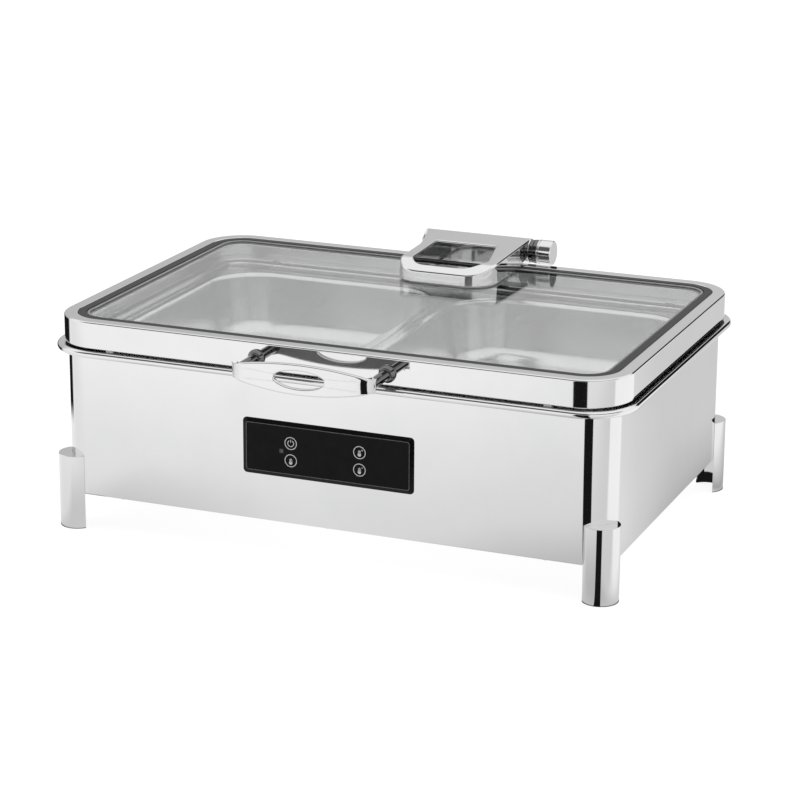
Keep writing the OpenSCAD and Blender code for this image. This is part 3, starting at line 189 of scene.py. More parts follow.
# %% Turned and cut pieces
def lathe(name, section, centre, axis, closed=False, steps=64):
    """Spins (along, radius) points about an axis through a centre."""
    cx, cy, cz = centre
    rings = []
    for along, radius in section:
        ring = []
        for i in range(steps):
            a = 2 * math.pi * i / steps
            u, v = radius * math.cos(a), radius * math.sin(a)
            ring.append({
                "X": (cx + along, cy + u, cz + v),
                "Y": (cx + u, cy + along, cz + v),
                "Z": (cx + u, cy + v, cz + along),
            }[axis])
        rings.append(ring)
    return loft(name, rings, closed)


def block(name, outline, axis, start, end):
    """A flat outline given a thickness along an axis."""
    spot = {
        "X": lambda u, v, t: (t, u, v),
        "Y": lambda u, v, t: (u, t, v),
        "Z": lambda u, v, t: (u, v, t),
    }[axis]
    return loft(name, [[spot(u, v, t) for u, v in outline] for t in (start, end)])


def cut(piece, tool, operation="DIFFERENCE"):
    """Applies a Boolean and throws the tool away."""
    step = piece.modifiers.new("cut", "BOOLEAN")
    step.operation, step.object, step.solver = operation, tool, "EXACT"
    with bpy.context.temp_override(object=piece, active_object=piece):
        bpy.ops.object.modifier_apply(modifier=step.name)
    bpy.data.objects.remove(tool)


def break_edges(piece, width, segments=3, angle=30):
    """Rounds every edge that is sharper than an angle."""
    step = piece.modifiers.new("edges", "BEVEL")
    step.width, step.segments = width * MM, segments
    step.limit_method, step.angle_limit = "ANGLE", math.radians(angle)
    step.harden_normals = False


def shade(piece, angle=40, flats=True):
    """Smooth shading up to an angle, with flats kept flat where there are any."""
    piece.data.shade_smooth()
    piece.data.set_sharp_from_angle(angle=math.radians(angle))
    if flats:
        step = piece.modifiers.new("flats", "WEIGHTED_NORMAL")
        step.keep_sharp, step.weight = True, 100


print("lathe and cutting helpers ready")

# %% [markdown]
# ## Writing materials as expressions
# A finish is a small sum: a base roughness plus a bit of noise, one colour
# faded into another by a mask. Written as Python expressions such sums stay
# readable. The class below wraps a socket, and each operator adds one Math
# node. Every other node comes from the same method of the paint box.

# %% Sockets that can be added and multiplied
class Value:
    """A socket in an expression."""

    def __init__(self, box, socket):
        self.box, self.socket = box, socket

    def __add__(self, other):
        return self.box.math("ADD", self, other)

    __radd__ = __add__

    def __sub__(self, other):
        return self.box.math("SUBTRACT", self, other)

    def __rsub__(self, other):
        return self.box.math("SUBTRACT", other, self)

    def __mul__(self, other):
        return self.box.math("MULTIPLY", self, other)

    __rmul__ = __mul__

    def __truediv__(self, other):
        return self.box.math("DIVIDE", self, other)

    def __rtruediv__(self, other):
        return self.box.math("DIVIDE", other, self)


class PaintBox:
    """A node tree and the ways to add to it."""

    def __init__(self, tree):
        self.tree = tree
        tree.nodes.clear()

    def node(self, kind, settings=None, sockets=None, out=0):
        """Adds a node: its settings first, then its sockets. Returns one output."""
        made = self.tree.nodes.new(kind)
        for key, value in (settings or {}).items():
            setattr(made, key, value)
        for key, value in (sockets or {}).items():
            if isinstance(value, Value):
                self.tree.links.new(value.socket, made.inputs[key])
            else:
                made.inputs[key].default_value = value
        return Value(self, made.outputs[out]) if made.outputs else None

    def math(self, operation, a, b=0.0):
        return self.node("ShaderNodeMath", {"operation": operation}, {0: a, 1: b})

    def remap(self, value, low, high, to_low=0.0, to_high=1.0):
        """A value carried softly from one range to another, held at the ends."""
        return self.node(
            "ShaderNodeMapRange", {"interpolation_type": "SMOOTHSTEP", "clamp": True},
            {0: value, 1: low, 2: high, 3: to_low, 4: to_high},
        )

    def band(self, value, start, end, soft):
        """1 between two limits and 0 outside, with soft edges."""
        begun = self.remap(value, start - soft, start + soft)
        return begun * (1.0 - self.remap(value, end - soft, end + soft))

    def fade(self, mask, a, b):
        """One colour faded into another by a mask."""
        return self.node("ShaderNodeMix", {"data_type": "RGBA"}, {0: mask, 6: a, 7: b}, out=2)

    def noise(self, scale, detail=3.0, stretch=(1, 1, 1), rough=0.5):
        """Noise in the object's own space, in features per metre."""
        place = self.node("ShaderNodeTexCoord", out="Object")
        place = self.node("ShaderNodeVectorMath", {"operation": "MULTIPLY"}, {0: place, 1: stretch})
        return self.node(
            "ShaderNodeTexNoise", None,
            {"Vector": place, "Scale": scale, "Detail": detail, "Roughness": rough},
        )

    def bump(self, height, distance):
        """A normal that follows a height, with the depth of its relief in metres."""
        return self.node(
            "ShaderNodeBump", None,
            {"Height": height, "Distance": distance, "Strength": 1.0}, out="Normal",
        )

    def shader(self, **sockets):
        """The Principled shader and the output, from socket names with underscores."""
        named = {key.replace("_", " "): value for key, value in sockets.items()}
        named.setdefault("IOR", 1.5)
        surface = self.node("ShaderNodeBsdfPrincipled", None, named)
        self.node("ShaderNodeOutputMaterial", None, {"Surface": surface})

    def seen_straight(self):
        """1 for what the camera sees directly or through glass, 0 for reflections and light."""
        path = self.node("ShaderNodeLightPath").socket.node
        kinds = ("Is Camera Ray", "Is Transmission Ray")
        return self.math("MAXIMUM", *(Value(self, path.outputs[kind]) for kind in kinds))


def grey(value, tint=(1, 1, 1)):
    """A colour of that lightness, a little tinted."""
    return tuple(value * t for t in tint) + (1.0,)


def finish(name):
    """A new material and its paint box."""
    made = bpy.data.materials.new(name)
    made.use_nodes = True
    return made, PaintBox(made.node_tree)


print("paint box ready")

# %% [markdown]
# ## Polished and satin steel
# The cabinet's sheet is buffed to a mirror. What gives such steel away is that
# its gloss isn't even: buffing leaves faint lines along the sheet and wiping
# leaves soft smears. Both go into the roughness. The pans are satin inside,
# with a wider spread of light and fine draw marks. The hinge's rings are dark
# chrome. The handle's posts get the same dark steel as painted shade, and the
# handle's back a dull, dark steel whose low colour is painted shade.

# %% Steel finishes
def steel(name, colour, gloss, smear, lines, line_stretch, line_depth=0.0):
    """Steel with a base roughness, smears and fine lines along the sheet."""
    made, box = finish(name)
    smears = box.remap(box.noise(14, 5, rough=0.6), 0.35, 0.75)
    fine = box.noise(lines, 3, line_stretch, rough=0.65)
    sockets = {
        "Base_Color": box.fade(smears, colour, grey(colour[0] * 0.965, (1, 1.002, 1.006))),
        "Metallic": 1.0,
        "Roughness": gloss + smear * smears + 0.5 * smear * fine,
    }
    if line_depth:
        sockets["Normal"] = box.bump(fine, line_depth)
    box.shader(**sockets)
    return made


polished = steel("polished_steel", grey(0.76), 0.03, 0.03, 60, (1, 1, 18))
# Dull, dark steel for the handle's back: its low colour is painted shade.
dull_painted_shade_steel = steel("dull_steel_with_painted_shade", grey(0.3), 0.45, 0.1, 60, (1, 1, 18))
satin = steel("satin_steel", grey(0.72), 0.17, 0.06, 90, (1, 1, 6), 0.00001)
turned = steel("turned_steel", grey(0.76), 0.06, 0.03, 220, (6, 1, 1))
# Dark steel for the hinge's rings, and for the handle's posts as painted shade of the dark room they
# mirror.
dark_chrome_and_painted_shade = steel("dark_chrome_and_painted_shade", grey(0.17), 0.05, 0.03, 220, (1, 6, 1))
screws = steel("screw_steel", grey(0.72, (1, 0.99, 0.97)), 0.24, 0.1, 300, (1, 1, 1))
plated = steel("plated_steel", grey(0.6, (1, 1, 1.01)), 0.34, 0.12, 70, (1, 1, 4), 0.00002)
dark_steel = steel("dark_steel", grey(0.16, (1, 1, 1.02)), 0.3, 0.12, 160, (1, 1, 1))
aluminium = steel("cast_aluminium", grey(0.7, (1, 1, 1.01)), 0.42, 0.12, 240, (1, 1, 1), 0.00005)
brass = steel("brass", (0.78, 0.58, 0.27, 1), 0.2, 0.1, 240, (1, 1, 1))
copper = steel("touch_copper", (0.85, 0.47, 0.31, 1), 0.25, 0.1, 240, (1, 1, 1))
print("steel finishes:", [m.name for m in (polished, satin, turned, plated, dark_steel)])

# %% [markdown]
# ## Glass, rubber and plastic
# The lid's pane is clear float glass, so light bends through it and its edges
# look a little green. The seal is dark silicone with a dull skin, the bezel is
# glossy black plastic, and the panel face is black glass with a thin print.

# %% Soft and clear finishes
def coated(name, low, high, gloss, spread, scale, depth=0.0, level=0.5):
    """A coloured, non-metal finish: two close colours mixed by noise, uneven gloss."""
    made, box = finish(name)
    cloud = box.noise(scale, 4)
    sockets = {
        "Base_Color": box.fade(box.remap(cloud, 0.3, 0.7), low, high),
        "Roughness": gloss + spread * cloud,
        "Specular_IOR_Level": level,
    }
    if depth:
        sockets["Normal"] = box.bump(cloud, depth)
    box.shader(**sockets)
    return made


def clear_glass():
    """Float glass with a faint green body and slight smears."""
    made, box = finish("clear_glass")
    smears = box.remap(box.noise(9, 4), 0.4, 0.8)
    box.shader(
        Base_Color=box.fade(smears, (0.985, 0.995, 0.99, 1), (0.975, 0.985, 0.98, 1)),
        Roughness=0.004 * smears, Transmission_Weight=1.0, IOR=1.5,
    )
    return made


glass = clear_glass()
# Dark silicone for the seal, also laid on the lid's underside as painted shade.
silicone = coated("seal_silicone_and_painted_shade", grey(0.03), grey(0.04), 0.36, 0.16, 160, 0.00002, level=0.2)
# A lighter black for the lip round the panel's face: a painted highlight.
painted_highlight_edge = coated("painted_highlight_edge", grey(0.06), grey(0.1), 0.4, 0.1, 300)
lip_silicone = coated("lip_silicone", grey(0.3), grey(0.36), 0.36, 0.16, 160)
bumper_silicone = coated("bumper_silicone", grey(0.62), grey(0.7), 0.45, 0.15, 200)
black_plastic = coated("black_plastic", grey(0.003), grey(0.005), 0.12, 0.08, 260, 0.00001, level=0.15)
panel_black = coated("panel_glass", grey(0.007), grey(0.009), 0.06, 0.04, 90, level=0.06)
sign_white = coated("sign_white", grey(0.55), grey(0.68), 0.4, 0.1, 700)
lamp_grey = coated("lamp_window", grey(0.045), grey(0.06), 0.15, 0.05, 500)
board_green = coated("board", (0.02, 0.12, 0.06, 1), (0.025, 0.16, 0.08, 1), 0.3, 0.15, 300)
terminal_ivory = coated("terminal", grey(0.5, (1, 0.96, 0.86)), grey(0.58, (1, 0.96, 0.86)), 0.4, 0.1, 200)
wire_skin = coated("wire", grey(0.05), grey(0.08), 0.4, 0.15, 300)
lamp_lens = coated("lamp", (0.5, 0.06, 0.04, 1), (0.6, 0.1, 0.06, 1), 0.15, 0.05, 400)
print("clear and soft finishes ready")

# %% [markdown]
# ## Fitting a piece to the frame
# Each finished piece rides on one body, either the base or the lid, so that it
# moves when the lid is opened. It stands for the solids it covers.

# %% Fitting pieces
def fit(piece, material, body, slot, *nodes):
    """Gives a piece its finish, its body and the solids it stands for. The slot is not used."""
    piece.data.materials.append(material)
    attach(piece, body)
    if nodes:
        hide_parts(*nodes)
    print(piece.name, "on", body, "for", ", ".join(nodes) or "nothing")


# %% [markdown]
# ## The cabinet
# The cabinet is a sleeve of one millimetre sheet with a flange folded inward at
# the bottom and the top. Its upright corners are bent round a form, so the
# section is carried round a rounded rectangle. Openings for the panel and the
# inlet are cut afterwards, as a punch would do it.

# %% Cabinet sleeve
CABINET_R, SHEET = 28, 1.0
FOLD_BOTTOM, FOLD_TOP, BEND_OUT, BEND_IN = 14, 10, 1.8, 0.8
low, high = measure("body_shell")
cabinet_section = fillet([
    (-FOLD_BOTTOM, low.z), (0, low.z, BEND_OUT), (0, high.z, BEND_OUT), (-FOLD_TOP, high.z),
    (-FOLD_TOP, high.z - SHEET), (-SHEET, high.z - SHEET, BEND_IN), (-SHEET, low.z + SHEET, BEND_IN),
    (-FOLD_BOTTOM, low.z + SHEET),
])
sleeve = ring_sweep("cabinet_sleeve", cabinet.x, cabinet.y, CABINET_R, cabinet_section)
PUNCH, PANEL_HOLE, PANEL_HOLE_R, INLET_HOLE = 5, 3, 4, (27, 20, 3)


def punch(place, width, height, radius, wall):
    """Punches a rounded hole through the front or the rear wall."""
    hole = [(place.x + u, place.z + v) for u, v in rounded_loop(width, height, radius, 4)]
    cut(sleeve, block("punch", hole, "Y", wall - PUNCH, wall + PUNCH))


panel, panel_mid = size_of("panel_bezel"), middle_of("panel_bezel")
wall_front, wall_rear = -cabinet.y / 2, cabinet.y / 2
punch(panel_mid, panel.x - 2 * PANEL_HOLE, panel.z - 2 * PANEL_HOLE, PANEL_HOLE_R, wall_front)
punch(middle_of("appliance_inlet"), *INLET_HOLE, wall_rear)
shade(sleeve)
fit(sleeve, polished, "base", "polished_steel", "body_shell")

# %% [markdown]
# ## The rolled rim
# A separate pressed rim closes the gap between cabinet and pans. Its outer edge
# is rolled into a tube, which stiffens it and leaves no sharp edge. From the
# tube a flat web runs inward and steps down to the ledge that carries the pans.

# %% Rim
rim = size_of("body_rim")
rim_low, rim_high = measure("body_rim")
RIM_R, BEAD_R, WEB_DROP = 50, 3.5, 0.5
LEDGE_IN, RECESS, WEB_OUT = -31.5, -26.5, -8
CURL_START, CURL_TURN, CURL_STEPS = 121, 335.8, 30
web_top, ledge_top = rim_high.z - WEB_DROP, rim_low.z + SHEET
curl = [math.radians(CURL_START - CURL_TURN * i / CURL_STEPS) for i in range(CURL_STEPS + 1)]
bead = [(BEAD_R * (math.cos(a) - 1), rim_high.z + BEAD_R * (math.sin(a) - 1)) for a in curl]
rim_section = fillet(
    [(LEDGE_IN, ledge_top), (RECESS, ledge_top, 1), (RECESS, web_top, 1.5), (WEB_OUT, web_top)]
    + bead
    + [(RECESS + SHEET, web_top - SHEET, 0.5), (RECESS + SHEET, rim_low.z, 1.5), (LEDGE_IN, rim_low.z)]
)
rolled_rim = ring_sweep("rolled_rim", rim.x, rim.y, RIM_R, rim_section)
shade(rolled_rim)
fit(rolled_rim, polished, "base", "polished_steel", "body_rim")

# %% [markdown]
# ## Feet
# Each foot is a length of tube with a flat cap, cut away where it meets the
# cabinet's corner, so from the side it shows as an open shell. The outline is
# where two circles meet: the tube and the rounded corner of the cabinet. The
# inside is bored out from below.

# %% Four feet
FOOT_R, FOOT_WALL, FOOT_IN, FOOT_GAP, FOOT_EDGE = 17.5, 1.5, 10.7, 0.05, 0.45
foot_top = measure("foot_front_left")[1].z
corner_r = CABINET_R + FOOT_GAP
reach = math.hypot(CABINET_R - FOOT_IN, CABINET_R - FOOT_IN)
meet_along = (corner_r ** 2 - FOOT_R ** 2 + reach ** 2) / (2 * reach)
meet_aside = math.sqrt(corner_r ** 2 - meet_along ** 2)


def foot_outline(tube_steps=40, wall_steps=16):
    """The tube's outer arc and the cabinet corner's arc, with the diagonal as x."""
    tube_end = math.atan2(meet_aside, meet_along - reach)
    wall_end = math.atan2(meet_aside, meet_along)
    tube = [tube_end * (2 * i / tube_steps - 1) for i in range(tube_steps + 1)]
    wall = [wall_end * (1 - 2 * i / wall_steps) for i in range(1, wall_steps)]
    return [(reach + FOOT_R * math.cos(a), FOOT_R * math.sin(a)) for a in tube] + [
        (corner_r * math.cos(a), corner_r * math.sin(a)) for a in wall
    ]


def foot(place, sx, sy):
    """One foot on the corner that sx and sy point to."""
    turn = math.atan2(sy, sx)
    cx, cy = sx * (cabinet.x / 2 - CABINET_R), sy * (cabinet.y / 2 - CABINET_R)
    outline = [
        (cx + u * math.cos(turn) - v * math.sin(turn), cy + u * math.sin(turn) + v * math.cos(turn))
        for u, v in foot_outline()
    ]
    made = block("foot_tube_" + place, outline, "Z", 0, foot_top)
    axis = (cx + reach * math.cos(turn), cy + reach * math.sin(turn), 0)
    bore_r = FOOT_R - FOOT_WALL
    cut(made, lathe("bore", [(-5, bore_r), (foot_top - FOOT_WALL, bore_r)], axis, "Z"))
    break_edges(made, FOOT_EDGE, 3, 35)
    shade(made)
    fit(made, polished, "base", "polished_steel", "foot_" + place)


for end, sy in (("front", -1), ("rear", 1)):
    for side, sx in (("left", -1), ("right", 1)):
        foot(end + "_" + side, sx, sy)

# %% [markdown]
# ## Pans
# The pans are deep drawn, so every wall flows into the floor and the flange
# with a radius. A ring for each height, from the floor out to the flange and
# back underneath, gives the inner face, the folded lip and the outer face in
# one closed skin.

# %% Pan builder
FLOOR_FLAT, FLANGE_RUN, LEAST_R = 4, 9, 0.3


def drawn_pan(name, centre_x, flange, flange_r, bowl, bowl_r, top, floor, floor_r, rim_r, draft=0, lip=0):
    """A drawn pan: flange and bowl are (width, depth), and its walls lean in by a draft."""
    middle = floor_r + draft + FLOOR_FLAT
    inner = fillet([(middle, floor + SHEET), (draft, floor + SHEET, floor_r),
                    (0, top, rim_r), (-FLANGE_RUN, top)], closed=False, steps=8)
    outer = fillet([(-FLANGE_RUN, top - SHEET), (-SHEET, top - SHEET, max(rim_r - SHEET, LEAST_R)),
                    (draft - SHEET, floor, floor_r + SHEET), (middle, floor)], closed=False, steps=8)

    def ring(width, depth, radius, z):
        return [(centre_x + x, y, z) for x, y in rounded_loop(width, depth, radius)]

    def bowl_rings(section):
        return [
            ring(bowl[0] - 2 * inset, bowl[1] - 2 * inset, max(bowl_r - inset, 3), z)
            for inset, z in section if inset > -rim_r - 0.01
        ]

    def edge(inset, z):
        return ring(flange[0] - 2 * inset, flange[1] - 2 * inset, flange_r - inset, z)

    rings = bowl_rings(inner)
    rings += [edge(1.2, top), edge(0.5, top - 0.2), edge(0.15, top - 0.55), edge(0, top - 1.2)]
    if lip:
        rings += [edge(0, top - lip + 0.3), edge(0.3, top - lip), edge(0.7, top - lip)]
        rings += [edge(SHEET, top - lip + 0.3), edge(SHEET, top - SHEET - 0.3)]
        rings += [edge(SHEET + 0.3, top - SHEET)]
    else:
        rings += [edge(0.3, top - SHEET)]
    rings += bowl_rings(outer)
    made = loft(name, rings)
    shade(made, 50)
    return made


print("pan builder ready")

# %% [markdown]
# The water bath fills the cabinet from wall to wall. The two serving pans hang
# in it side by side on their flanges. Their walls lean in a little, so that they
# stack when they are empty.

# %% Water bath and serving pans
bath = size_of("water_pan")
bath_low, bath_high = measure("water_pan")
water_bath = drawn_pan(
    "water_bath", 0, flange=(bath.x, bath.y), flange_r=23, bowl=(521, 315), bowl_r=28.5,
    top=bath_high.z, floor=bath_low.z, floor_r=10, rim_r=1.2)
fit(water_bath, satin, "base", "satin_steel", "water_pan")

for side in ("left", "right"):
    low, high = measure("food_pan_" + side)
    pan = drawn_pan(
        "serving_pan_" + side, (low.x + high.x) / 2, flange=(high.x - low.x, high.y - low.y), flange_r=12,
        bowl=(242, 304), bowl_r=50, top=high.z, floor=low.z, floor_r=18, rim_r=5, draft=7, lip=3.4)
    fit(pan, satin, "base", "satin_steel", "food_pan_" + side)

# %% [markdown]
# ## Lid frame, seal and pane
# The lid's frame is a pressed ring: a straight outer wall, a flat flange and a
# rebate that holds the pane in a dark silicone seal. All three share one centre
# and one outer size, so they are three sections carried round the same outline.

# %% Lid ring
lid = size_of("lid_frame")
lid_low, lid_high = measure("lid_frame")
LID_R, LID_SHEET, FLANGE, REBATE_IN, FOLD = 46, 1.2, 13, -26.5, 13.4
lid_top, lid_foot = lid_high.z, lid_low.z
rebate = measure("glass_seal")[0].z
lid_section = fillet([
    (0, lid_foot, 0.5), (0, lid_top, 2), (-FLANGE, lid_top, 0.8), (-FLANGE, rebate),
    (REBATE_IN, rebate, 0.4), (REBATE_IN, rebate - LID_SHEET, 0.4),
    (-FLANGE + LID_SHEET, rebate - LID_SHEET, 0.6), (-FLANGE + LID_SHEET, lid_top - LID_SHEET, 0.5),
    (-LID_SHEET, lid_top - LID_SHEET, 0.8), (-LID_SHEET, lid_foot + LID_SHEET, 0.8),
    (-FOLD, lid_foot + LID_SHEET, 0.4), (-FOLD, lid_foot, 0.4),
])
lid_ring = ring_sweep("lid_ring", lid.x, lid.y, LID_R, lid_section)
shade(lid_ring)
INSIDE_FROM, RING_COUNT = 25, 4 * (CORNER_STEPS + 1)
# Faces from row INSIDE_FROM on get the satin finish. The last row, the underside of the fold, gets the
# dark silicone as painted shade, so the gap under the lid shows as a black line.
for face in lid_ring.data.polygons:
    row = face.index // RING_COUNT
    face.material_index = (row >= INSIDE_FROM) + (row == len(lid_section) - 1)
fit(lid_ring, polished, "lid", "polished_steel", "lid_frame")
lid_ring.data.materials.append(satin)
lid_ring.data.materials.append(silicone)

# %% [markdown]
# The seal grips the pane's edge in a slot. A fine groove parts its dark body
# from a thin lip that lies on the glass and catches more light, so the lip's
# faces get a lighter silicone.

# %% Seal strip
pane_low, pane_high = measure("lid_glass")
seal_top = measure("glass_seal")[1].z
SEAL_OUT, SEAL_IN, SLOT, EASE = -FLANGE - 0.15, -24.55, -16.4, 0.06
NICK_FROM, NICK_TO, NICK_LEAN, LIP_FROM = -21.2, -22.6, 0.4, -22
nick_floor = pane_high.z + NICK_LEAN
seal_section = fillet([
    (SEAL_OUT, rebate, 0.3), (SEAL_OUT, seal_top, 0.9),
    (NICK_FROM, seal_top, 0.5), (NICK_FROM - NICK_LEAN, nick_floor, 0.2),
    (NICK_TO + NICK_LEAN, nick_floor, 0.2), (NICK_TO, seal_top - 0.2, 0.4),
    (SEAL_IN, pane_high.z + 0.7, 0.3), (SEAL_IN, pane_high.z + EASE), (SLOT, pane_high.z + EASE),
    (SLOT, pane_low.z - EASE), (SEAL_IN, pane_low.z - EASE), (SEAL_IN, rebate + 0.05, 0.3),
])
seal_strip = ring_sweep("seal_strip", lid.x, lid.y, LID_R, seal_section)
shade(seal_strip)
lip_rings = [i for i, (s, z) in enumerate(seal_section) if s < LIP_FROM and z > pane_low.z]
for face in seal_strip.data.polygons:
    face.material_index = lip_rings[0] <= face.index // RING_COUNT < lip_rings[-1]
fit(seal_strip, silicone, "lid", "silicone", "glass_seal")
seal_strip.data.materials.append(lip_silicone)

# %% [markdown]
# The pane is a flat slab with ground edges. Glass shows both faces and its
# edge, so the slab is a closed solid with a small chamfer, not a single sheet.

# %% Glass pane
pane = size_of("lid_glass")
PANE_R, GROUND = 29.55, 0.5
pane_steps = (
    (GROUND, pane_low.z), (0, pane_low.z + GROUND),
    (0, pane_high.z - GROUND), (GROUND, pane_high.z),
)
pane_rings = [
    [(x, y, z) for x, y in rounded_loop(pane.x - 2 * inset, pane.y - 2 * inset, PANE_R - inset)]
    for inset, z in pane_steps
]
lid_pane = loft("lid_pane", pane_rings)
shade(lid_pane, 20)
fit(lid_pane, glass, "lid", "clear_glass", "lid_glass")

# %% [markdown]
# Small pale bumpers under the lid's folded edge keep steel off steel. Each is a
# soft pad with round corners, three in front and three behind.

# %% Bumpers
bumper_low, bumper_high = measure("lid_bumpers")
BUMPER_L, BUMPER_D, BUMPER_R = 8, 9.5, 1.2
pad_steps = (
    (0.5, bumper_low.z), (0.1, bumper_low.z + 0.15), (0, bumper_low.z + 0.5),
    (0, lid_foot - 0.03), (0.5, lid_foot - 0.02),
)


def pad_ring(x, y, z, inset):
    """A ring round one pad."""
    loop = rounded_loop(BUMPER_L - 2 * inset, BUMPER_D - 2 * inset, BUMPER_R - inset, 5)
    return [(x + u, y + v, z) for u, v in loop]


points, faces = [], []
for y in (BUMPER_D / 2 - lid.y / 2, lid.y / 2 - BUMPER_D / 2):
    for x in (bumper_low.x + BUMPER_L / 2, 0, bumper_high.x - BUMPER_L / 2):
        rings = [pad_ring(x, y, z, inset) for inset, z in pad_steps]
        faces += loft_faces(len(rings), len(rings[0]), False, len(points))
        points += [p for ring in rings for p in ring]
bumpers = make_piece("lid_bumper_pads", points, faces)
shade(bumpers)
fit(bumpers, bumper_silicone, "lid", "bumper", "lid_bumpers")

# %% [markdown]
# ## Handle
# The handle is a bowed plate with an oval hole, held by two posts. Seen from
# above it is nearly straight and rolls back at its ends, which is why a dark
# stripe shows just before the right end. Its outline and its hole are two rings
# with matching points, so the faces between them stay even. The plate is drawn
# flat first and bent last.

# %% Handle outline
plate_low, plate_high = measure("handle_plate")
plate_z = middle_of("handle_plate").z
half_len, half_high = size_of("handle_plate").x / 2, size_of("handle_plate").z / 2
HALF_END, PLATE, HOLE_W, HOLE_H = 5.4, 5.0, 25.5, 8.5
FLAT_R, ROLL_R, ROLL_FROM = 650, 20, 57


def bend(s, t):
    """Where a point at length s along the plate and depth t behind its face ends up."""
    side, length = (1 if s >= 0 else -1), abs(s)
    flat = min(length, ROLL_FROM) / FLAT_R
    x, y, a = FLAT_R * math.sin(flat), FLAT_R * (1 - math.cos(flat)), flat
    if length > ROLL_FROM:
        a = flat + (length - ROLL_FROM) / ROLL_R
        x += ROLL_R * (math.sin(a) - math.sin(flat))
        y += ROLL_R * (math.cos(flat) - math.cos(a))
    return side * (x - math.sin(a) * t), plate_low.y + y + math.cos(a) * t


roll_sine = math.sin(ROLL_FROM / FLAT_R) + (half_len - FLAT_R * math.sin(ROLL_FROM / FLAT_R)) / ROLL_R
half_run = ROLL_FROM + ROLL_R * (math.asin(roll_sine) - ROLL_FROM / FLAT_R)
edge_r = (half_run ** 2 + (half_high - HALF_END) ** 2) / (2 * (half_high - HALF_END))


def lens_edge(s):
    """Half the plate's height at a length along it."""
    return half_high - edge_r + math.sqrt(edge_r ** 2 - s * s)


HALF_COUNT, TIP_R = 28, 2.5
stations = [half_run * math.sin(math.pi / 2 * (i / HALF_COUNT - 1)) for i in range(2 * HALF_COUNT + 1)]
top_edge = [(s, lens_edge(s)) for s in reversed(stations)]
outline = [(s, z, TIP_R) if i in (0, 2 * HALF_COUNT) else (s, z) for i, (s, z) in enumerate(top_edge)]
outline += [(-s, -z, *r) for s, z, *r in outline]
outline = fillet(outline)
print("handle outline points", len(outline), "run", round(2 * half_run, 1))


# %% [markdown]
# The plate is a closed skin: rings start at the hole's back edge, come forward,
# spread over the face to the outline, go round its edge and return over the
# back. Bevel modifiers would crowd faces at the sharp tips, so the rounded edges
# are rings too. The back gets a dull, dark steel whose low colour is painted
# shade, which keeps it grey in the mirror of the lid.

# %% Handle plate
def shrink(points, inset):
    """The outline moved inward by an inset."""
    moved = []
    for i, p in enumerate(points):
        step = Vector(points[(i + 1) % len(points)]) - Vector(points[i - 1])
        inward = Vector((-step.y, step.x)).normalized()
        moved.append((p[0] + inward.x * inset, p[1] + inward.y * inset))
    return moved


def oval(points, grow):
    """Points of the hole's edge in the same directions as the outline's points."""
    wide, tall = HOLE_W + grow, HOLE_H + grow
    made = []
    for s, z in points:
        a = math.atan2(z / half_high, s / half_run)
        made.append((wide * math.cos(a), tall * math.sin(a)))
    return made


EDGE, BETWEEN = 1.4, 14
quarter = [math.radians(90 * i / 4) for i in range(5)]
front = [(EDGE * (1 - math.sin(a)), EDGE * (1 - math.cos(a))) for a in quarter]
hole_edge, plate_edge = oval(outline, EDGE), shrink(outline, EDGE)
between = [
    [Vector(a).lerp(Vector(b), k / BETWEEN) for a, b in zip(hole_edge, plate_edge)]
    for k in range(1, BETWEEN)
]
rings = [(oval(outline, inset), PLATE - depth) for inset, depth in front]
rings += [(oval(outline, inset), depth) for inset, depth in reversed(front)]
rings += [(ring, 0) for ring in between]
rings += [(shrink(outline, inset), depth) for inset, depth in front]
rings += [(shrink(outline, inset), PLATE - depth) for inset, depth in reversed(front)]
rings += [(ring, PLATE) for ring in reversed(between)]
rings = [[(*bend(s, t), plate_z + z) for s, z in ring] for ring, t in rings]
grip = loft("handle_grip", rings, closed=True)
shade(grip, 60, flats=False)
BACK_FROM = len(rings) - BETWEEN
for face in grip.data.polygons:
    if face.index // len(outline) >= BACK_FROM:
        face.material_index = 1
fit(grip, polished, "lid", "polished_steel", "handle_plate")
# The back's dull, dark steel is painted shade.
grip.data.materials.append(dull_painted_shade_steel)

# %% [markdown]
# Each post is turned from bar, with a flared collar where it meets the lid's
# wall. A lathe section along the depth gives post and collar together.

# %% Handle posts
POST_R, COLLAR_R, COLLAR_TIP, COLLAR_H, COLLAR_RIM, INTO_PLATE = 5, 8.5, 6, 5, 1.5, 3.4
wall_y = -lid.y / 2
for side in ("left", "right"):
    post_x, post_end = middle_of("handle_post_" + side).x, measure("handle_post_" + side)[0].y
    section = fillet([
        (wall_y, COLLAR_R), (wall_y - COLLAR_RIM, COLLAR_R, 1.2), (wall_y - COLLAR_H, COLLAR_TIP, 2),
        (wall_y - COLLAR_H, POST_R, 0.4), (post_end - INTO_PLATE, POST_R),
    ], closed=False)
    post = lathe("handle_stem_" + side, section, (post_x, 0, plate_z), "Y", steps=48)
    shade(post)
    # The posts' dark steel is painted shade for the dark room they mirror.
    fit(post, dark_chrome_and_painted_shade, "lid", "polished_steel", "handle_post_" + side)

# %% [markdown]
# ## Hinge arm
# The arm is cast, ground and polished: a thick D-shaped loop on the pane that
# rises to a barrel behind the lid. The height of its top depends only on the
# distance from the front: a slope, a soft bend and a nearly level plate. Its
# underside lies flat on a pad and rises behind the seal.

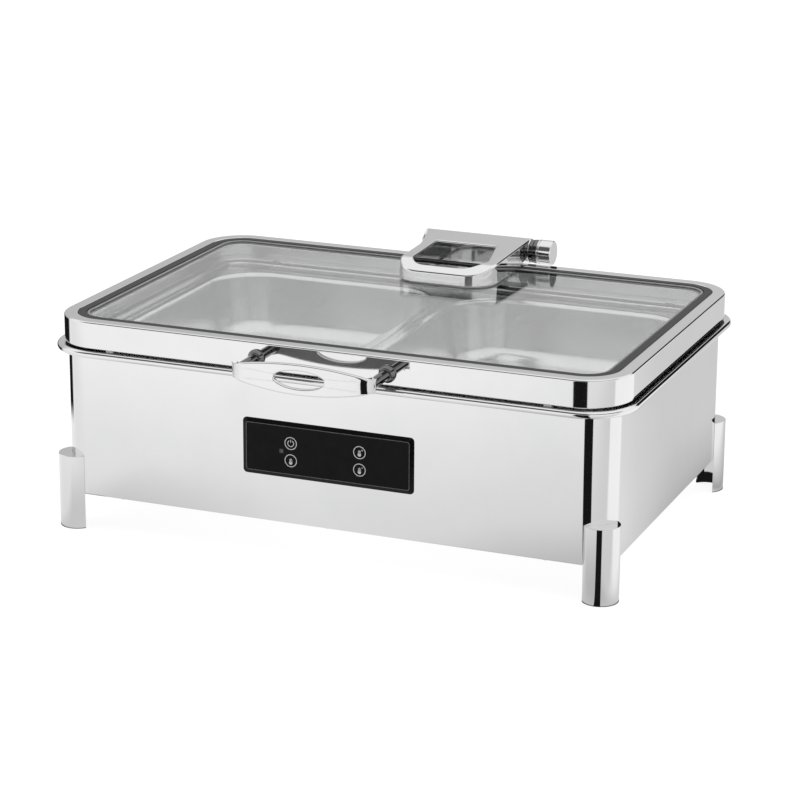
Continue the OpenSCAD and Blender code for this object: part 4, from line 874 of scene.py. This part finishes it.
# %% Arm heights
arm_low, arm_high = measure("hinge_arm")
AXIS_Y, AXIS_Z = 206, 222.2
BARREL_R = arm_high.z - AXIS_Z
ARM_W, ARM_H, FRONT_H, SLOPE, BEND = 104, 19.5, 11, 21, 6
ARM_RADII, WINDOW_RADII = (25, 29), (16, 24)
BAND_FRONT, BAND_SIDE, WINDOW_L, TAPER, FLARE_L, FLARE_EASE = 12, 13.5, 79, 12, 50, 0.2
UNDER_TO, UNDER_END = 163.95, Vector((AXIS_Y - BARREL_R, AXIS_Z - 3.6))
arm_half = ARM_W / 2
arm_x = arm_high.x - arm_half
arm_z = measure("arm_pad")[1].z
steep = (ARM_H - FRONT_H) / SLOPE
level = (arm_high.z - arm_z - ARM_H) / (AXIS_Y - arm_low.y - SLOPE)


def top_at(y):
    """Height of the arm's top face at a depth."""
    from_bend = y - arm_low.y - SLOPE
    if from_bend < -BEND:
        return arm_z + ARM_H + steep * from_bend
    if from_bend > BEND:
        return arm_z + ARM_H + level * from_bend
    return arm_z + ARM_H + steep * from_bend + (level - steep) * (from_bend + BEND) ** 2 / (4 * BEND)


def under_at(y):
    """Height of the arm's underside, which rises behind the seal."""
    return arm_z + max(0, y - UNDER_TO) * (UNDER_END.y - arm_z) / (UNDER_END.x - UNDER_TO)


print("arm from", round(arm_z, 1), "to", round(arm_high.z, 1), "mm")

# %% [markdown]
# Seen from above, the arm's outline and its window are both D shapes. One
# function draws every D with the same count of points, so that any two of them
# can be joined ring to ring.

# %% Arm outlines
SIDE, TURN, FRONT, REAR = 9, 14, 6, 10


def d_side(half, front, back, radius, lean):
    """One side of a D from its rear to its front, where lean tells how far out it stands at a depth."""
    bow = front + radius
    depths = [back + (bow - back) * (1 - (1 - i / SIDE) ** 2) for i in range(SIDE)]
    turn = [math.radians(90 * i / TURN) for i in range(TURN + 1)]
    side = [(half + lean(y), y) for y in depths]
    return side + [(half - radius + radius * math.cos(a), bow - radius * math.sin(a)) for a in turn]


def d_ring(half, front, back, radii, lean_left, lean_right):
    """A D shape from above with the same points for every size, from the rear left round the front."""
    left = [(-x, y) for x, y in d_side(half, front, back, radii[0], lean_left)]
    right = d_side(half, front, back, radii[1], lean_right)
    (left_rear, _), (left_front, _) = left[0], left[-1]
    (right_rear, _), (right_front, _) = right[0], right[-1]
    front_row = [(left_front + (right_front - left_front) * i / FRONT, front) for i in range(1, FRONT)]
    rear_row = [(right_rear + (left_rear - right_rear) * i / REAR, back) for i in range(1, REAR)]
    return [(arm_x + x, y) for x, y in left + front_row + right[::-1] + rear_row]


def arm_outline(inset):
    """The arm's outline, which flares out to the barrel's end at its left rear."""
    flare = arm_x - arm_half - arm_low.x - FLARE_EASE
    return d_ring(
        arm_half - inset, arm_low.y + inset, AXIS_Y, [r - inset for r in ARM_RADII],
        lambda y: flare * max(0, 1 - (AXIS_Y - y) / FLARE_L), lambda y: 0)


def window_outline(grow):
    """The window's outline, whose right side draws in toward the back."""
    front, back = arm_low.y + BAND_FRONT, arm_low.y + BAND_FRONT + WINDOW_L
    bow = front + WINDOW_RADII[1]
    return d_ring(
        arm_half - BAND_SIDE + grow, front - grow, back + grow, [r + grow for r in WINDOW_RADII],
        lambda y: 0, lambda y: -TAPER * (y - bow) / (back - bow))


print("points round the arm", len(arm_outline(0)), "and its window", len(window_outline(0)))

# %% [markdown]
# Rings run from the window's foot up its wall, over the rounded edge, across the
# top and down the outer wall. Sharp black lines on polished metal come from such
# narrow rounded edges, which show another part of the room than the flats do.

# %% Arm loop
WINDOW_EDGE, ARM_EDGE, DRAFT, ACROSS, FOOT_BREAK = 1.8, 2.0, 0.8, 9, 0.4
bends = [math.radians(90 * i / 5) for i in range(6)]
from_window, to_wall = window_outline(WINDOW_EDGE), arm_outline(DRAFT + ARM_EDGE)
arm_rings = [[(x, y, under_at(y)) for x, y in window_outline(FOOT_BREAK)]]
arm_rings.append([(x, y, under_at(y) + FOOT_BREAK) for x, y in window_outline(0)])
for a in bends:
    grow, drop = WINDOW_EDGE * (1 - math.cos(a)), WINDOW_EDGE * (1 - math.sin(a))
    arm_rings.append([(x, y, top_at(y) - drop) for x, y in window_outline(grow)])
for k in range(1, ACROSS):
    line = [Vector(p).lerp(Vector(q), k / ACROSS) for p, q in zip(from_window, to_wall)]
    arm_rings.append([(x, y, top_at(y)) for x, y in line])
for a in bends:
    inset, drop = DRAFT + ARM_EDGE * (1 - math.sin(a)), ARM_EDGE * (1 - math.cos(a))
    arm_rings.append([(x, y, top_at(y) - drop) for x, y in arm_outline(inset)])
for inset, up in ((0, 0.5), (0.15, 0.15), (0.5, 0)):
    arm_rings.append([(x, y, under_at(y) + up) for x, y in arm_outline(inset)])
arm = loft("arm_loop", arm_rings, closed=True)
print("arm loop points", len(arm.data.vertices))

# %% [markdown]
# The barrel behind the lid is turned, with rounded ends. It is joined to the
# loop with a Boolean union. Then the room for the hinge base's knuckle and the
# bore for the shaft are cut out, as a mill and a reamer would do it.

# %% Arm barrel
BARREL_EDGE, BARREL_HOLE, BARREL_EASE = 1.2, 2, 0.04
turned_r = BARREL_R - BARREL_EASE
barrel = fillet([
    (arm_low.x, BARREL_HOLE), (arm_low.x, turned_r, BARREL_EDGE),
    (arm_high.x, turned_r, BARREL_EDGE), (arm_high.x, BARREL_HOLE),
], closed=False)
cut(arm, lathe("barrel", barrel, (0, AXIS_Y, AXIS_Z), "X", steps=96), "UNION")
ROOM_HALF, ROOM_R, ROOM_REACH, COVER = 26, 10, 20, 52
turns = [math.radians(a) for a in range(COVER, 181, 8)]
hollow = [(ROOM_R * math.cos(a), ROOM_R * math.sin(a)) for a in turns]
hollow += [(-ROOM_R, -ROOM_REACH), (ROOM_REACH, -ROOM_REACH), (ROOM_REACH, 0)]
hollow += [(ROOM_REACH * math.cos(turns[0]), ROOM_REACH * math.sin(turns[0]))]
hollow = [(AXIS_Y + u, AXIS_Z + v) for u, v in hollow]
cut(arm, block("hollow", hollow, "X", arm_x - ROOM_HALF, arm_x + ROOM_HALF))
BORE_EASE = 0.03
bore_r = size_of("arm_bushes").z / 2 + BORE_EASE
bore = [(arm_low.x - 5, bore_r), (arm_high.x + 5, bore_r)]
cut(arm, lathe("bore", bore, (0, AXIS_Y, AXIS_Z), "X"))
shade(arm, 35)
fit(arm, polished, "lid", "polished_steel", "hinge_arm")

# %% [markdown]
# At the right of the barrel sit two dark friction rings and the polished end
# cap that squeezes them. They don't turn with the lid. The rings and the cap are
# turned parts, the cap with a fine groove near its inner end.

# %% Friction rings and cap
ring_low, ring_high = measure("friction_washers")
cap_low, cap_high = measure("hinge_end_cap")
axis_point = (0, AXIS_Y, AXIS_Z)
ring_mid, ring_r = middle_of("friction_washers").x, size_of("friction_washers").z / 2
SHAFT_R = 4.1
section = fillet([
    (ring_low.x, SHAFT_R), (ring_low.x, ring_r - 0.5, 0.4), (ring_mid - 0.5, ring_r - 0.5, 0.4),
    (ring_mid - 0.4, ring_r - 1.6), (ring_mid + 0.2, ring_r - 1.6), (ring_mid + 0.3, ring_r, 0.4),
    (ring_high.x, ring_r, 0.4), (ring_high.x, SHAFT_R),
])
rings = lathe("friction_rings", section, axis_point, "X", closed=True)
shade(rings)
fit(rings, dark_chrome_and_painted_shade, "base", "dark_steel", "friction_washers")

cap_r = size_of("hinge_end_cap").z / 2
GROOVE_AT, GROOVE_W, GROOVE_D = 1.8, 1.2, 1.2
groove_in, groove_out = cap_low.x + GROOVE_AT, cap_low.x + GROOVE_AT + GROOVE_W
section = fillet([
    (cap_low.x, SHAFT_R), (cap_low.x, cap_r, 0.6), (groove_in, cap_r, 0.2),
    (groove_in, cap_r - GROOVE_D), (groove_out, cap_r - GROOVE_D),
    (groove_out, cap_r, 0.2), (cap_high.x, cap_r, 1.2), (cap_high.x, 2.0),
], closed=False)
cap = lathe("hinge_cap", section, axis_point, "X")
shade(cap)
fit(cap, turned, "base", "polished_steel", "hinge_end_cap")

# %% [markdown]
# ## Touch panel
# The panel is a black frame that stands a little proud of the wall with sloping
# sides, and a black glass face let into it. Its rings stand upright, so the
# frame is lofted outward from the wall. A narrow lip round the face gets a
# lighter black, a painted highlight that shows as a thin light line.

# %% Panel frame and face
PROUD = wall_front - measure("panel_bezel")[0].y
face = size_of("panel_glass")


def panel_ring(size, grow, radius, out):
    """A ring round the panel, larger than a size by grow, at a distance in front of the wall."""
    loop = rounded_loop(size.x + grow, size.z + grow, radius, 8)
    return [(panel_mid.x + u, wall_front - out, panel_mid.z + v) for u, v in loop]


FACE_GAP, BEHIND = 0.2, -8
frame_steps = (
    (panel, -6.2, 3.8, BEHIND), (panel, -6.2, 3.8, 0.02), (panel, -0.6, 3.7, 0.02),
    (panel, 0, 4, 0.2), (panel, 0, 4, 0.4), (panel, -0.3, 3.9, 0.6),
    (face, 1.9, 2.5, PROUD - 0.12), (face, 1.6, 2.4, PROUD), (face, FACE_GAP, 2.0, PROUD),
    (face, FACE_GAP, 2.0, 0.6), (face, -5, 1.5, 0.6), (face, -5, 1.5, BEHIND),
)
frame_rings = [panel_ring(*step) for step in frame_steps]
panel_frame = loft("panel_frame", frame_rings, closed=True)
shade(panel_frame, 25)
LIP_RING = 7
for quad in panel_frame.data.polygons:
    quad.material_index = quad.index // len(frame_rings[0]) == LIP_RING
fit(panel_frame, black_plastic, "base", "black_plastic", "panel_bezel")
# The lip ring's lighter black is a painted highlight.
panel_frame.data.materials.append(painted_highlight_edge)

FACE_OUT = PROUD - 0.15
face_steps = ((face, 0, 1.9, 0.7), (face, 0, 1.9, FACE_OUT - 0.25), (face, -0.5, 1.7, FACE_OUT))
panel_face = loft("panel_face", [panel_ring(*step) for step in face_steps])
shade(panel_face, 20)
fit(panel_face, panel_black, "base", "panel_glass", "panel_glass")

# %% [markdown]
# The four touch keys are printed rings with plain signs: a power sign and three
# thermometers, two of them with a plus and a minus. A print has a thickness too,
# so each stroke is a thin strip that lies on the glass.

# %% Printed strokes
INK, INK_INTO = 0.06, 0.02
sign_points, sign_faces = [], []


def add_strip(inner, outer, closed):
    """A thin printed strip between two lines of equal count."""
    count, first = len(inner), len(sign_points)
    for out in (FACE_OUT - INK_INTO, FACE_OUT + INK):
        for line in (inner, outer):
            sign_points.extend((x, wall_front - out, z) for x, z in line)
    back_in, back_out, top_in, top_out = (first + k * count for k in range(4))
    for i in range(count if closed else count - 1):
        j = (i + 1) % count
        for a, b in ((top_in, top_out), (top_out, back_out), (back_out, back_in), (back_in, top_in)):
            sign_faces.append((a + i, a + j, b + j, b + i))
    if not closed:
        for i in (0, count - 1):
            sign_faces.append((back_in + i, back_out + i, top_out + i, top_in + i))


def arc(cx, cz, radius, start, end, width, steps=40):
    """A printed arc between two angles, or a whole ring."""
    whole = end - start >= 360
    turns = [math.radians(start + (end - start) * i / steps) for i in range(steps if whole else steps + 1)]
    lines = [
        [(cx + r * math.cos(a), cz + r * math.sin(a)) for a in turns]
        for r in (radius - width / 2, radius + width / 2)
    ]
    add_strip(*lines, closed=whole)


def bar(cx, cz, width, height):
    """A printed bar."""
    add_strip(
        [(cx - width / 2, cz - height / 2), (cx - width / 2, cz + height / 2)],
        [(cx + width / 2, cz - height / 2), (cx + width / 2, cz + height / 2)], closed=False)


def thermometer(cx, cz):
    """A bulb, a stem and a round top."""
    arc(cx, cz - 2.2, 0.85, 0, 360, 1.7, 24)
    bar(cx, cz + 0.4, 0.8, 3.6)
    arc(cx, cz + 0.6, 1.15, -20, 200, 0.5, 20)
    bar(cx - 1.15, cz - 0.3, 0.5, 1.8)
    bar(cx + 1.15, cz - 0.3, 0.5, 1.8)


print("strokes ready")

# %% [markdown]
# Each key lies over a copper touch pad, so its place comes from the pads' box.
# The small lamp shows as a grey square window left of the keys.

# %% Key signs and lamp
keys_low, keys_high = measure("touch_pads")
PAD_R, KEY_R, KEY_LINE, SIGN_UP, SIGN_ASIDE, SIGN_L, SIGN_W = 6.6, 5.9, 0.75, 2.4, 2.8, 1.8, 0.5
left_x, right_x = keys_low.x + PAD_R, keys_high.x - PAD_R
upper_z, lower_z = keys_high.z - PAD_R, keys_low.z + PAD_R
for x in (left_x, right_x):
    for z in (upper_z, lower_z):
        arc(x, z, KEY_R, 0, 360, KEY_LINE, 56)
arc(left_x, upper_z, 3.0, 120, 420, KEY_LINE)
bar(left_x, upper_z + SIGN_UP, 0.7, 2.6)
for x, z in ((left_x, lower_z), (right_x, upper_z), (right_x, lower_z)):
    thermometer(x, z)
for z in (upper_z, lower_z):
    bar(right_x + SIGN_ASIDE, z + SIGN_UP, SIGN_L, SIGN_W)
bar(right_x + SIGN_ASIDE, upper_z + SIGN_UP, SIGN_W, SIGN_L)
signs = make_piece("key_signs", sign_points, sign_faces)
fit(signs, sign_white, "base", "panel_glass")

LAMP, LAMP_R = 4, 0.4
lamp_mid, face_y = middle_of("indicator_lamp"), wall_front - FACE_OUT
lamp_loop = [(lamp_mid.x + u, lamp_mid.z + v) for u, v in rounded_loop(LAMP, LAMP, LAMP_R, 4)]
lamp_window = block("lamp_window", lamp_loop, "Y", face_y - INK, face_y + INK_INTO)
fit(lamp_window, lamp_grey, "base", "panel_glass")

# %% [markdown]
# ## Parts kept as solids
# Fasteners, boards, leads and the hinge's base are already right as solids.
# They get a finish, and those that show get softened edges too.

# %% Finishes for the solids
solid_finish = {
    polished: ["hinge_base"],
    plated: ["bottom_plate", "heat_shield", "shield_posts", "hinge_backing_plate", "arm_clamp_plate",
             "element_straps", "power_board_posts", "panel_retainer"],
    screws: ["bottom_plate_screws", "foot_screws", "control_board_screws", "inlet_screws",
             "hinge_base_screws", "handle_screws", "arm_screws", "hinge_set_screws", "hinge_shaft"],
    aluminium: ["heater_plate"],
    dark_steel: ["heater_element", "temperature_sensor", "thermal_cutout"],
    brass: ["inlet_pins", "arm_bushes"],
    copper: ["touch_pads"],
    black_plastic: ["appliance_inlet", "power_relay", "power_supply"],
    board_green: ["control_board", "power_board"],
    terminal_ivory: ["terminal_block"],
    wire_skin: ["mains_leads", "heater_leads", "signal_cable"],
    lamp_lens: ["indicator_lamp"],
    bumper_silicone: ["arm_pad"],
}
softened, WELD = {"hinge_base": 0.8, "appliance_inlet": 0.5, "bottom_plate": 0.4}, 0.01
for material, names in solid_finish.items():
    for name in names:
        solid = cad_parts[name]
        solid.data.materials.clear()
        solid.data.materials.append(material)
        if name in softened:
            weld = solid.modifiers.new("weld", "WELD")
            weld.merge_threshold = WELD * MM
            break_edges(solid, softened[name], 2, 35)
print("solids with a finish:", sum(len(names) for names in solid_finish.values()))

# %% [markdown]
# ## Studio
# Mirror steel shows the room more than itself. The dish stands in a white room
# with a few dark openings: a narrow one beside the camera, which draws the
# upright dark stripes on the right corners, high ones in front and at the right,
# which draw the thin lines along rounded edges, and one behind. The world holds
# that room by direction, and the camera itself sees plain white.

# %% White room with dark openings
scene = bpy.context.scene
world = bpy.data.worlds.new("white_room")
world.use_nodes = True
scene.world = world
room = PaintBox(world.node_tree)
direction = room.node("ShaderNodeTexCoord", out="Generated")
parts = room.node("ShaderNodeSeparateXYZ", None, {0: direction}).socket.node.outputs
east, north, rise = (Value(room, part) for part in parts)
DEGREES, ROOM_LIGHT, ROOM_LEAST, BRIGHTEST = 180 / math.pi, 1.06, 0.012, 1.2
bearing = room.math("ARCTAN2", east, 0.0 - north) * DEGREES
height = room.math("ARCSINE", rise) * DEGREES


def opening(start, end, soft):
    """1 between two bearings."""
    return room.band(bearing, start, end, soft)


def above(level, soft):
    """1 above a height, 0 below it."""
    return room.remap(height, level - soft, level + soft)


def glow(box, light):
    """A grey from a light value, which may go a little above 1."""
    return box.fade(light / BRIGHTEST, grey(0.0), grey(BRIGHTEST))


low_wall = 1.0 - above(34, 10)
back_left = room.remap(bearing, -166, -152, 0.40, 0.48) * opening(-190, -95, 6) * low_wall
back_seam = room.remap(bearing, 168, 180, 0.0, 0.36) * low_wall
dark_openings = (
    opening(-6, 24, 1.2) * (1.0 - above(16, 4)),
    opening(149, 177, 2.5) * above(3, 2) * (1.0 - above(27, 3)),
    opening(-62, 24, 8) * above(22, 3) * (1.0 - above(60, 6)) * 0.9,
    opening(24, 104, 4) * above(25, 3) * (1.0 - above(42, 6)) * 0.9,
)
light = ROOM_LIGHT - back_left - back_seam
for dark in dark_openings:
    light = light * (1.0 - dark)
seen = room.seen_straight()
strength = seen + (1.0 - seen) * (light + ROOM_LEAST)
backdrop = room.node("ShaderNodeBackground", None, {"Color": glow(room, strength), "Strength": 1.0})
room.node("ShaderNodeOutputWorld", None, {"Surface": backdrop})
print("room with", len(dark_openings), "dark openings")

# %% [markdown]
# The steel walls are upright and the camera looks down on them, so what they
# show is mostly the table. For the camera the table is white with a faint soft
# shadow. For reflections it carries a painted layout of light and shade: a white
# sheet with painted shade near the dish, which ends in a painted dark wedge in
# front of the right foot and in painted darkness far to the left.
# First the table and the ways to name places on it.

# %% Table and places on it
TABLE = 8
corners = [(x * TABLE, y * TABLE, 0) for x, y in ((-1, -1), (1, -1), (1, 1), (-1, 1))]
table_mesh = bpy.data.meshes.new("table")
table_mesh.from_pydata(corners, [], [(0, 1, 2, 3)])
table = bpy.data.objects.new("table", table_mesh)
scene.collection.objects.link(table)
table_white, sheet = finish("table_white")
spot = sheet.node("ShaderNodeTexCoord", out="Object")
parts = sheet.node("ShaderNodeSeparateXYZ", None, {0: spot}).socket.node.outputs
across, deep = Value(sheet, parts[0]), Value(sheet, parts[1]) - MIDDLE_Y
nearer, aside = 0.0 - deep, sheet.math("ABSOLUTE", across)


def turn_from(x, y):
    """Bearing of a place on the table from a point, in degrees."""
    return sheet.math("ARCTAN2", across - x, y - deep) * DEGREES


def far(dx, dy):
    """Length of a way over the table."""
    return sheet.math("SQRT", dx * dx + dy * dy)


print("table", 2 * TABLE, "m wide")

# %% [markdown]
# Each wall of the dish shows its own part of the table, so each gets its own
# painted soft shade: in front, at the right, round the feet. The painted dark
# wedge and the painted dark at the left multiply what is left of the light, and
# a thin painted contact shadow lies where the feet touch.

# %% Light and shade on the table
SHEET_LIGHT, SHEET_LEAST, WALL_SLANT, WALL_X, TOUCH = 1.12, 0.01, 2.472, 0.28, 4
wedge_from, dark_from = (0.271, -0.180), (-0.262, -0.167)
# The wedge and the dark at the left are painted dark areas that only reflections show.
wedge = sheet.band(turn_from(*wedge_from), -12, 21, 1)
dark_far = far(across - dark_from[0], deep - dark_from[1])
left_dark = sheet.band(turn_from(*dark_from), -152, -98, 4) * sheet.remap(dark_far, 0.33, 0.42)
# Painted shade near the dish: in front, at the right and round the feet.
in_front = sheet.remap(nearer, 0.16, 0.22)
near_front = in_front * sheet.remap(nearer, 0.25, 0.85, 0.16, 0.0)
front_right = in_front * sheet.remap(across, -0.25, 0.35, 0.0, 0.16)
from_wall = deep - WALL_SLANT * (across - WALL_X)
right_side = sheet.remap(from_wall, -0.32, 0.12, 0.0, 0.40) * sheet.remap(across, WALL_X, 0.30)
right_near = (1.0 - in_front) * sheet.remap(across, 0.29, 0.37, 0.12, 0.0)
foot_axis = Vector((cabinet.x / 2 - FOOT_IN, cabinet.y / 2 - FOOT_IN)) * MM
from_foot = far(aside - foot_axis.x, sheet.math("ABSOLUTE", deep) - foot_axis.y)
# A painted contact shadow: a thin dark ring round each foot.
painted_contact_shadow = 1.0 - sheet.remap(from_foot, FOOT_R * MM, (FOOT_R + TOUCH) * MM)
beside = sheet.remap(aside, 0.27, 0.33)
foot_shade = sheet.remap(from_foot, 0.06, 0.26, 0.24, 0.0) * (1.0 - 0.8 * beside)
sheet_light = SHEET_LIGHT - near_front - front_right - right_side - right_near - foot_shade
for dark in (wedge, left_dark, painted_contact_shadow):
    sheet_light = sheet_light * (1.0 - dark)
print("shade reaches", round(foot_axis.x, 3), "m to the feet")

# %% [markdown]
# Two looks are mixed by the kind of ray: a pale sheet that keeps the dish's
# shadow for the camera, also through the glass, and the painted layout of light
# and shade for reflections.

# %% Table finish
table_glow = glow(sheet, sheet_light + SHEET_LEAST)
shown = sheet.node("ShaderNodeEmission", None, {"Color": table_glow, "Strength": 1.0})
looks = sheet.node("ShaderNodeBsdfPrincipled", None, {
    "Base Color": grey(0.3), "Roughness": 0.9, "Specular IOR Level": 0.0,
    "Emission Color": grey(1.0), "Emission Strength": 0.86,
})
chosen = sheet.node("ShaderNodeMixShader", None, {0: sheet.seen_straight(), 1: shown, 2: looks})
sheet.node("ShaderNodeOutputMaterial", None, {"Surface": chosen})
table_white.cycles.emission_sampling = "NONE"
table_mesh.materials.append(table_white)
print("table on stage")

# %% [markdown]
# ## Camera
# The photograph was taken with a long lens from the right front and a little
# above. Its direction, distance and lens were found by fitting the dish's edges.

# %% Camera
AZIMUTH, ELEVATION, ROLL = (math.radians(v) for v in (22.09, 16.56, 0.34))
STAND, LENS, SENSOR, SHIFT = Vector((0.97652, -2.40601, 0.90209)), 122.84, 36, (0.00036, -0.0240)
right = Vector((math.cos(AZIMUTH), math.sin(AZIMUTH), 0))
flat = math.cos(ELEVATION)
back = Vector((math.sin(AZIMUTH) * flat, -math.cos(AZIMUTH) * flat, math.sin(ELEVATION)))
up = back.cross(right)
right, up = (
    right * math.cos(ROLL) + up * math.sin(ROLL),
    up * math.cos(ROLL) - right * math.sin(ROLL),
)
lens = bpy.data.cameras.new("camera")
lens.lens, lens.sensor_width = LENS, SENSOR
lens.shift_x, lens.shift_y = SHIFT
lens.clip_end = 100
camera = bpy.data.objects.new("camera", lens)
scene.collection.objects.link(camera)
for row in range(3):
    for column, axis in enumerate((right, up, back)):
        camera.matrix_world[row][column] = axis[row]
camera.matrix_world.translation = STAND + Vector((0, MIDDLE_Y, 0))
scene.camera = camera
scene.view_settings.view_transform = "Standard"
print("camera at", [round(v, 3) for v in camera.matrix_world.translation])
